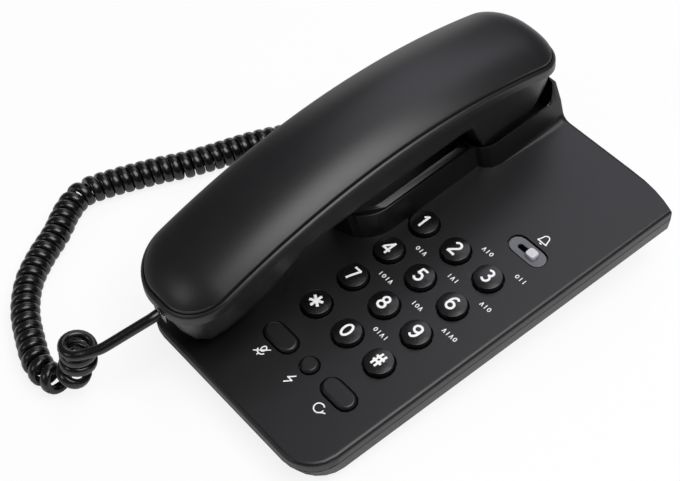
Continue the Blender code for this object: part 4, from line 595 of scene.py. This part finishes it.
# Strokes of each sign in millimetres, from the key's middle
SIX = [arc(0.15, 0, 1.8, 2.9, 52, 180) + arc(0, -1.25, 1.7, 1.65, 180, 540)]
SIGNS = {
    "1": [[(-1.25, 1.5), (0.3, 2.9)], [(0.2, 3.3), (0.2, -3.4)]],
    "2": [arc(0, 1.35, 1.6, 1.55, 165, -40) + [(-1.8, -2.9)], [(-2.0, -2.9), (2.0, -2.9)]],
    "3": [arc(-0.1, 1.5, 1.45, 1.4, 145, -90), arc(-0.05, -1.3, 1.65, 1.6, 90, -145)],
    "4": [[(0.8, 3.3), (0.8, -3.4)], [(0.95, 3.0), (-1.9, -1.3)], [(-2.2, -1.4), (2.0, -1.4)]],
    "5": [[(1.6, 2.9), (-1.3, 2.9)], [(-1.0, 3.2), (-1.3, 0.1)], arc(-0.05, -1.15, 1.7, 1.75, 135, -145)],
    "6": SIX,
    "7": [[(-1.8, 2.9), (1.9, 2.9)], [(1.65, 3.1), (-0.65, -3.4)]],
    "8": [arc(0, 1.45, 1.4, 1.4, 90, 450), arc(0, -1.4, 1.7, 1.5, 90, 450)],
    "9": [[(-x, -y) for x, y in SIX[0]]],
    "0": [arc(0, 0, 1.7, 2.9, 90, 450)],
    "*": [[(STAR_REACH * math.sin(turn), STAR_REACH * math.cos(turn)),
           (-STAR_REACH * math.sin(turn), -STAR_REACH * math.cos(turn))]
          for turn in (0, math.pi / 3, 2 * math.pi / 3)],
    "#": [[(-0.65, 3.2), (-1.25, -3.2)], [(1.25, 3.2), (0.65, -3.2)], [(-2.2, -1), (2.2, -1)],
          [(-2.2, 1), (2.2, 1)]],
}

key_cap = turned("key_cap", key_profile())
smooth_by_angle(key_cap)
for label, (x, y) in KEY_SPOTS.items():
    body = "key_" + {"*": "star", "#": "hash"}.get(label, label)
    place = DECK @ Matrix.Translation((x, y, 0))
    cap = bpy.data.objects.new("cap_" + body, key_cap.data.copy())
    bpy.context.scene.collection.objects.link(cap)
    settle(cap, key_abs, body, place)
    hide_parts(body)
    sign = printed_strokes("sign_" + body, SIGNS[label], STAR_STROKE if label == "*" else SIGN_STROKE)
    for vert in sign.data.vertices:
        vert.co.x += SIGN_SHIFT.x
        vert.co.y += SIGN_SHIFT.y
        vert.co.z += key_height(vert.co.xy.length)
    settle(sign, sign_ink, body, place)
bpy.data.objects.remove(key_cap)

nib_turns = [math.pi / 2 * step / NIB_STEPS for step in range(NIB_STEPS + 1)]
nib = turned("nib_key_5", [(NIB_RADIUS * math.sin(turn), NIB_HEIGHT * math.cos(turn)) for turn in nib_turns]
             + [(NIB_RADIUS, -NIB_ROOT), (0, -NIB_ROOT)], steps=24)
smooth_by_angle(nib)
x, y = KEY_SPOTS["5"]
settle(nib, key_abs, "key_5", DECK @ Matrix.Translation((
    x + NIB_SHIFT.x, y + NIB_SHIFT.y, key_height(NIB_SHIFT.length))))

# Marks on the deck. Groups of plain rings, bars and hooks in white pad print, one beside each of nine
# keys, behind it on its right.
MARK_STROKE = 0.42 * MM
MARK_STEP = 2.0
MARK_SHIFT = Vector((8.9, 9.7)) * MM
# Strokes of the marks in millimetres, from the middle of each
MARK_RING = arc(0, 0, 0.6, 0.85, 90, 450, 10)
MARK_BAR = [(0, 1.05), (0, -1.05)]
MARK_HOOK = [(-0.6, -1.05), (0, 0.95), (0.6, -1.05)]
MARKS = {"2": (MARK_HOOK, MARK_BAR, MARK_RING), "3": (MARK_RING, MARK_BAR, MARK_BAR),
         "4": (MARK_RING, MARK_BAR, MARK_HOOK), "5": (MARK_BAR, MARK_HOOK, MARK_BAR),
         "6": (MARK_HOOK, MARK_BAR, MARK_RING), "7": (MARK_BAR, MARK_RING, MARK_BAR, MARK_HOOK),
         "8": (MARK_BAR, MARK_RING, MARK_HOOK), "9": (MARK_HOOK, MARK_BAR, MARK_HOOK, MARK_RING),
         "0": (MARK_RING, MARK_BAR, MARK_HOOK, MARK_BAR)}

deck_lines = []
for label, figures in MARKS.items():
    middle_x = (KEY_SPOTS[label][0] + MARK_SHIFT.x) / MM
    middle_y = (KEY_SPOTS[label][1] + MARK_SHIFT.y) / MM
    for index, figure in enumerate(figures):
        left = middle_x + MARK_STEP * (index - (len(figures) - 1) / 2)
        deck_lines.append([(left + x, middle_y + y) for x, y in figure])
deck_marks = printed_strokes("deck_marks", deck_lines, MARK_STROKE)
settle(deck_marks, sign_ink, "base", DECK @ Matrix.Translation((0, 0, PRINT_THICKNESS / 3)))

# Function buttons. Two obround buttons and a round one, moulded in black ABS like the keys. Satin tops
# and rounder edges make them look softer than the polished keys.
BUTTON_EDGE = 0.5 * MM
for node in ("mute_button", "flash_button", "redial_button"):
    button = rounded_copy(node, "cap_" + node, BUTTON_EDGE, least_angle=40, segments=4)
    smooth_by_angle(button, 40)
    settle(button, housing_abs, node)
    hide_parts(node)

# Signs of the functions. A crossed microphone, a bolt, a turned arrow and a bell in white pad print on
# the deck, each beside the button or the slide that it belongs to.
FUNCTION_STROKE = 0.6 * MM
FUNCTION_SIZE = 1.25
FUNCTION_SIGN_Y = -74.6
FUNCTION_SIGN_X = 14.7
FUNCTION_PITCH = 17.7
BELL_SIGN_X = 34.9
BELL_SIGN_Y = 44.4
# Strokes of the signs in millimetres, before FUNCTION_SIZE makes them larger
MICROPHONE_SIGN = [arc(0, 0.9, 0.75, 1.1, 90, 450), arc(0, 0.5, 1.6, 1.8, 200, 340), [(0, -1.3), (0, -2.1)],
                   [(-2.0, -1.9), (2.0, 2.3)]]
BOLT_SIGN = [[(0.7, 2.1), (-1.0, -0.1)], [(-1.2, 0), (1.2, 0)], [(1.0, 0.1), (-0.7, -2.1)]]
ARROW_SIGN = [arc(0, 0, 1.7, 1.7, 50, 340), [(1.7, 0.4), (1.7, -1.0)], [(2.9, 0.1), (1.5, -0.7)]]
BELL_SIGN = [arc(0, 0.4, 1.2, 1.5, 0, 180), [(-1.2, 0.5), (-1.7, -1.2)], [(1.2, 0.5), (1.7, -1.2)],
             [(-2.0, -1.2), (2.0, -1.2)], [(-0.5, -1.9), (0.5, -1.9)]]

function_lines = []
for place_x, place_y, lines in ((FUNCTION_SIGN_X - FUNCTION_PITCH, FUNCTION_SIGN_Y, MICROPHONE_SIGN),
                                (FUNCTION_SIGN_X, FUNCTION_SIGN_Y, BOLT_SIGN),
                                (FUNCTION_SIGN_X + FUNCTION_PITCH, FUNCTION_SIGN_Y, ARROW_SIGN),
                                (BELL_SIGN_X, BELL_SIGN_Y, BELL_SIGN)):
    for line in lines:
        function_lines.append([(place_x + x * FUNCTION_SIZE, place_y + y * FUNCTION_SIZE) for x, y in line])
function_signs = printed_strokes("function_signs", function_lines, FUNCTION_STROKE)
settle(function_signs, sign_ink, "base", DECK @ Matrix.Translation((0, 0, PRINT_THICKNESS / 3)))

# Ringer switch. A grey plate sunk in an obround recess of the deck, with a slot and a glossy pale knob
# that slides in it. The plate stands free of the recess, which shows as a dark outline.
RINGER_X = 34.0 * MM
RINGER_Y = 35.6 * MM
PLATE_LENGTH_SHARE = 0.955
PLATE_WIDTH_SHARE = 0.9
PLATE_EDGE = 0.3 * MM
KNOB_EDGE = 0.35 * MM

# Grey ABS with a satin finish: an even sheen, a little clouded.
plate_satin = moulded("satin_plate_abs", "5a5a60", "75757b", 0.3, 0.8 * MM, 0.01 * MM)
# Pale ABS from a polished tool: bright, with a crisp glint on its edge.
knob_polish = moulded("polished_knob_abs", "c4c4c8", "d6d6da", 0.2, 0.5 * MM, 0.006 * MM)
to_ringer = DECK @ Matrix.Translation((RINGER_X, RINGER_Y, 0))
plate = rounded_copy("ringer_bezel", "satin_ringer_plate", PLATE_EDGE)
settle(plate, plate_satin, "base",
       to_ringer @ Matrix.Diagonal((PLATE_LENGTH_SHARE, PLATE_WIDTH_SHARE, 1, 1)) @ to_ringer.inverted())
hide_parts("ringer_bezel")
knob = rounded_copy("ringer_slider", "polished_ringer_knob", KNOB_EDGE, segments=3)
settle(knob, knob_polish, "ringer_slider")
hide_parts("ringer_slider")

# Hook plunger. The sprung button in the well under the ear end, moulded in polished black plastic.
# The handset's weight holds it down.
dress("hook_plunger", key_abs)

# Handset, bottom cover. The lower ABS shell of the handle with the mouth block and the ear block,
# which hold the capsules.
GRIP_EDGE = 0.2 * MM
grip_bottom = rounded_copy("handset_bottom_cover", "grip_bottom", GRIP_EDGE)
settle(grip_bottom, housing_abs, "handset")
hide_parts("handset_bottom_cover")

# Handset, top cover. The arched upper shell: a crowned back inside a fine groove and a lip, and a
# band below the lip that laps over the bottom cover. Its satin skin carries the broad highlight.
HANDSET_Y = 0.2 * MM
HANDSET_LENGTH = 200.5 * MM
HANDSET_HALF_WIDTH = 22.2 * MM
HANDSET_FRONT_RADIUS = 18.5 * MM
HANDSET_REAR_RADIUS = 16.0 * MM
CREASE_PEAK = 51.0 * MM
CREASE_PEAK_Y = 3.25 * MM
CREASE_FALL = 16.5 * MM
CREASE_FALL_SPAN = 95.0 * MM
CROWN = 6.5 * MM
BAND = 5.0 * MM
COVER_WALL = 1.8 * MM
CROWN_COLUMNS = 40
CORNER_ROWS = 14
HANDLE_ROWS = 40
# Insets from the outline and heights over the crease: band, lip and groove from below
LIP_PROFILE = [(inset * MM, height * MM) for inset, height in (
    (-0.6, -5.0), (-0.55, -2.8), (-0.5, -1.5), (-0.42, -1.05), (-0.22, -0.76), (0.15, -0.52), (0.55, -0.32),
    (0.78, -0.24), (0.9, -0.36), (1.0, -0.62), (1.12, -0.66), (1.22, -0.5), (1.28, -0.25))]
CROWN_INSET = 1.34 * MM
CROWN_POWERS = (2.2, 0.8)
FRONT_CAP_POWERS = (2.2, 0.6)
REAR_CAP_POWERS = (3, 0.5)
INNER_BAND_STEP = 0.6 * MM


def crease_height(y):
    return CREASE_PEAK - CREASE_FALL * ((y - CREASE_PEAK_Y) / CREASE_FALL_SPAN) ** 2


def half_width(y, inset=0.0):
    half = HANDSET_HALF_WIDTH - inset
    for depth, radius in ((-HANDSET_LENGTH / 2 + HANDSET_FRONT_RADIUS - y, HANDSET_FRONT_RADIUS - inset),
                          (y - HANDSET_LENGTH / 2 + HANDSET_REAR_RADIUS, HANDSET_REAR_RADIUS - inset)):
        if depth > 0:
            half -= radius - math.sqrt(max(radius ** 2 - min(depth, radius) ** 2, 0))
    return half


def crown_height(x, y):
    """Height of the crowned back over the crease."""
    front = (-HANDSET_LENGTH / 2 + HANDSET_FRONT_RADIUS - y) / HANDSET_FRONT_RADIUS
    rear = (y - HANDSET_LENGTH / 2 + HANDSET_REAR_RADIUS) / HANDSET_REAR_RADIUS
    rise, fall = REAR_CAP_POWERS if rear > front else FRONT_CAP_POWERS
    cap = max(1 - min(max(rear, front, 0), 1) ** rise, 0) ** fall
    share = min(abs(x) / max(half_width(y), WELD), 1)
    return CROWN * cap * (1 - share ** CROWN_POWERS[0]) ** CROWN_POWERS[1]


def outline_rows(inset):
    """Depths of the rows for an outline that is moved inwards, dense in the round corners."""
    front = -HANDSET_LENGTH / 2 + inset
    rear = HANDSET_LENGTH / 2 - inset
    rows = [front + (HANDSET_FRONT_RADIUS - inset) * (1 - math.cos(math.pi / 2 * step / CORNER_ROWS))
            for step in range(CORNER_ROWS)]
    start = -HANDSET_LENGTH / 2 + HANDSET_FRONT_RADIUS
    finish = HANDSET_LENGTH / 2 - HANDSET_REAR_RADIUS
    rows += [start + (finish - start) * step / HANDLE_ROWS for step in range(HANDLE_ROWS + 1)]
    rows += [rear - (HANDSET_REAR_RADIUS - inset) * (1 - math.cos(math.pi / 2 * step / CORNER_ROWS))
             for step in reversed(range(CORNER_ROWS))]
    return rows


def crown_shares():
    """Shares of the half width, closer together near the edges, where the crown is steep."""
    return [math.sin(math.pi / 2 * (2 * step / CROWN_COLUMNS - 1)) for step in range(CROWN_COLUMNS + 1)]


def outline_ring(inset, height):
    """The closed ring at an inset, with as many points as the crown's border has."""
    rows = outline_rows(inset)
    ends = [(share * half_width(rows[0], inset), rows[0]) for share in crown_shares()]
    right = [(half_width(y, inset), y) for y in rows[1:-1]]
    far = [(share * half_width(rows[-1], inset), rows[-1]) for share in reversed(crown_shares())]
    left = [(-half_width(y, inset), y) for y in reversed(rows[1:-1])]
    return [(x, y, crease_height(y) + height) for x, y in ends + right + far + left]


def crown_grid(inset, drop):
    """The crown's points, row by row, inside an outline that is moved inwards."""
    return [[(share * half_width(y, inset), y,
              crease_height(y) - drop + crown_height(share * half_width(y, inset), y))
             for share in crown_shares()] for y in outline_rows(inset)]


def top_cover_mesh():
    shape = bmesh.new()

    def ring_verts(points):
        return [shape.verts.new((HANDSET_X + x, HANDSET_Y + y, z)) for x, y, z in points]

    def crown_verts(inset, drop):
        grid = [[shape.verts.new((HANDSET_X + x, HANDSET_Y + y, z)) for x, y, z in row]
                for row in crown_grid(inset, drop)]
        for low, high in zip(grid, grid[1:]):
            for a, b, c, d in zip(low, low[1:], high[1:], high):
                shape.faces.new((a, b, c, d))
        right = [row[-1] for row in grid[1:-1]]
        left = [row[0] for row in grid[-2:0:-1]]
        return grid[0] + right + grid[-1][::-1] + left

    rings = [crown_verts(CROWN_INSET + COVER_WALL, COVER_WALL)]
    rings.append(ring_verts(outline_ring(COVER_WALL - INNER_BAND_STEP, -BAND)))
    rings += [ring_verts(outline_ring(inset, height)) for inset, height in LIP_PROFILE]
    rings.append(crown_verts(CROWN_INSET, 0))
    for low, high in zip(rings, rings[1:]):
        for step in range(len(low)):
            after = (step + 1) % len(low)
            shape.faces.new((low[step], low[after], high[after], high[step]))
    bmesh.ops.remove_doubles(shape, verts=shape.verts, dist=WELD)
    bmesh.ops.dissolve_degenerate(shape, edges=shape.edges, dist=WELD)
    bmesh.ops.recalc_face_normals(shape, faces=shape.faces)
    data = bpy.data.meshes.new("grip_top")
    shape.to_mesh(data)
    shape.free()
    return data


grip_top = bpy.data.objects.new("grip_top", top_cover_mesh())
bpy.context.scene.collection.objects.link(grip_top)
smooth_by_angle(grip_top, 40)
settle(grip_top, housing_abs, "handset", DECK)
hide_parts("handset_top_cover")

# Handset contents. Receiver, microphone in its rubber boot, a steel weight that makes the handset lie
# firmly, and the screws that join the covers. All of them are closed in.
dress("receiver_capsule", capsule_metal)
dress("microphone_capsule", capsule_metal)
dress("microphone_boot", foot_rubber)
dress("handset_weight", zinc)
dress("handset_screw_left", zinc)
dress("handset_screw_right", zinc)

# Jacks and plugs. Modular jacks of black ABS sit in the housings, and plugs of clear polycarbonate
# snap into them at both ends of the cord.
for node in ("cord_jack", "line_jack", "handset_jack"):
    dress(node, housing_abs)
# Clear polycarbonate, moulded: glassy, with bright edges.
clear_plug = moulded("clear_polycarbonate", "e4e6e8", "eef0f2", 0.1, 1.0 * MM, 0.004 * MM, ior=1.58,
                     clear=1.0)
dress("handset_plug", clear_plug)
dress("base_plug", clear_plug)


# Studio. A white table and soft boxes: the strong one over the right gives the handset its long
# highlight, one behind on the left gives the deck its sheen, and two weak ones lift the low sides.
def soft_box(name, direction, distance, size, power, colour="ffffff"):
    light = bpy.data.lights.new(name, "AREA")
    light.size = size
    light.energy = power
    light.color = linear(colour)[:3]
    lamp = bpy.data.objects.new(name, light)
    away = Vector(direction).normalized()
    lamp.location = CAMERA_TARGET + away * distance
    lamp.rotation_euler = (-away).to_track_quat("-Z", "Y").to_euler()
    bpy.context.scene.collection.objects.link(lamp)


soft_box("box_over_right", (0.314, 0.084, 0.946), distance=1.1, size=0.8, power=11.0)
soft_box("box_back_left", (-0.36, 0.55, 0.76), distance=1.3, size=0.8, power=3.0, colour="f1f1ff")
soft_box("box_low_left", (-0.83, 0.52, 0.21), distance=1.3, size=0.6, power=1.2)
soft_box("box_front", (-0.22, -0.81, 0.54), distance=1.2, size=0.35, power=1.2)

# The air is white to the camera and dim to everything else
AIR_LEVEL = 0.12
world = bpy.data.worlds.new("studio_air")
bpy.context.scene.world = world
world.use_nodes = True
air = world.node_tree.nodes["Background"]
air.inputs["Color"].default_value = (1, 1, 1, 1)
seen = add_node(world, "LightPath").outputs["Is Camera Ray"]
bright = add_node(world, "MapRange", {"Value": seen, "To Min": AIR_LEVEL, "To Max": 1.0})
world.node_tree.links.new(bright.outputs["Result"], air.inputs["Strength"])

# White lacquered board: the camera sees it almost pure white, and it keeps the telephone's shadow
TABLE_GLOW = 0.86
table_paint = empty_material("table_paint")
place = add_node(table_paint, "TexCoord").outputs["Object"]
drift = add_node(table_paint, "TexNoise", {"Vector": place, "Scale": 6.0})
tone = two_tone(table_paint, drift.outputs["Fac"], "f6f6f6", "fafafa")
matt = add_node(table_paint, "BsdfDiffuse", {"Color": tone})
lit = add_node(table_paint, "Emission", {"Color": (1, 1, 1, 1), "Strength": 1.0})
seen = add_node(table_paint, "LightPath").outputs["Is Camera Ray"]
share = add_node(table_paint, "Math", {0: seen, 1: TABLE_GLOW}, operation="MULTIPLY")
both = add_node(table_paint, "MixShader", {0: share.outputs["Value"], 1: matt.outputs["BSDF"],
                                           2: lit.outputs["Emission"]})
add_node(table_paint, "OutputMaterial", {"Surface": both.outputs["Shader"]})
bpy.ops.object.select_all(action="DESELECT")
bpy.ops.mesh.primitive_grid_add(x_subdivisions=8, y_subdivisions=8, size=6.0, location=(0, 0, 0))
table = bpy.context.object
table.name = "table"
table.data.materials.append(table_paint)

bpy.context.view_layer.update()
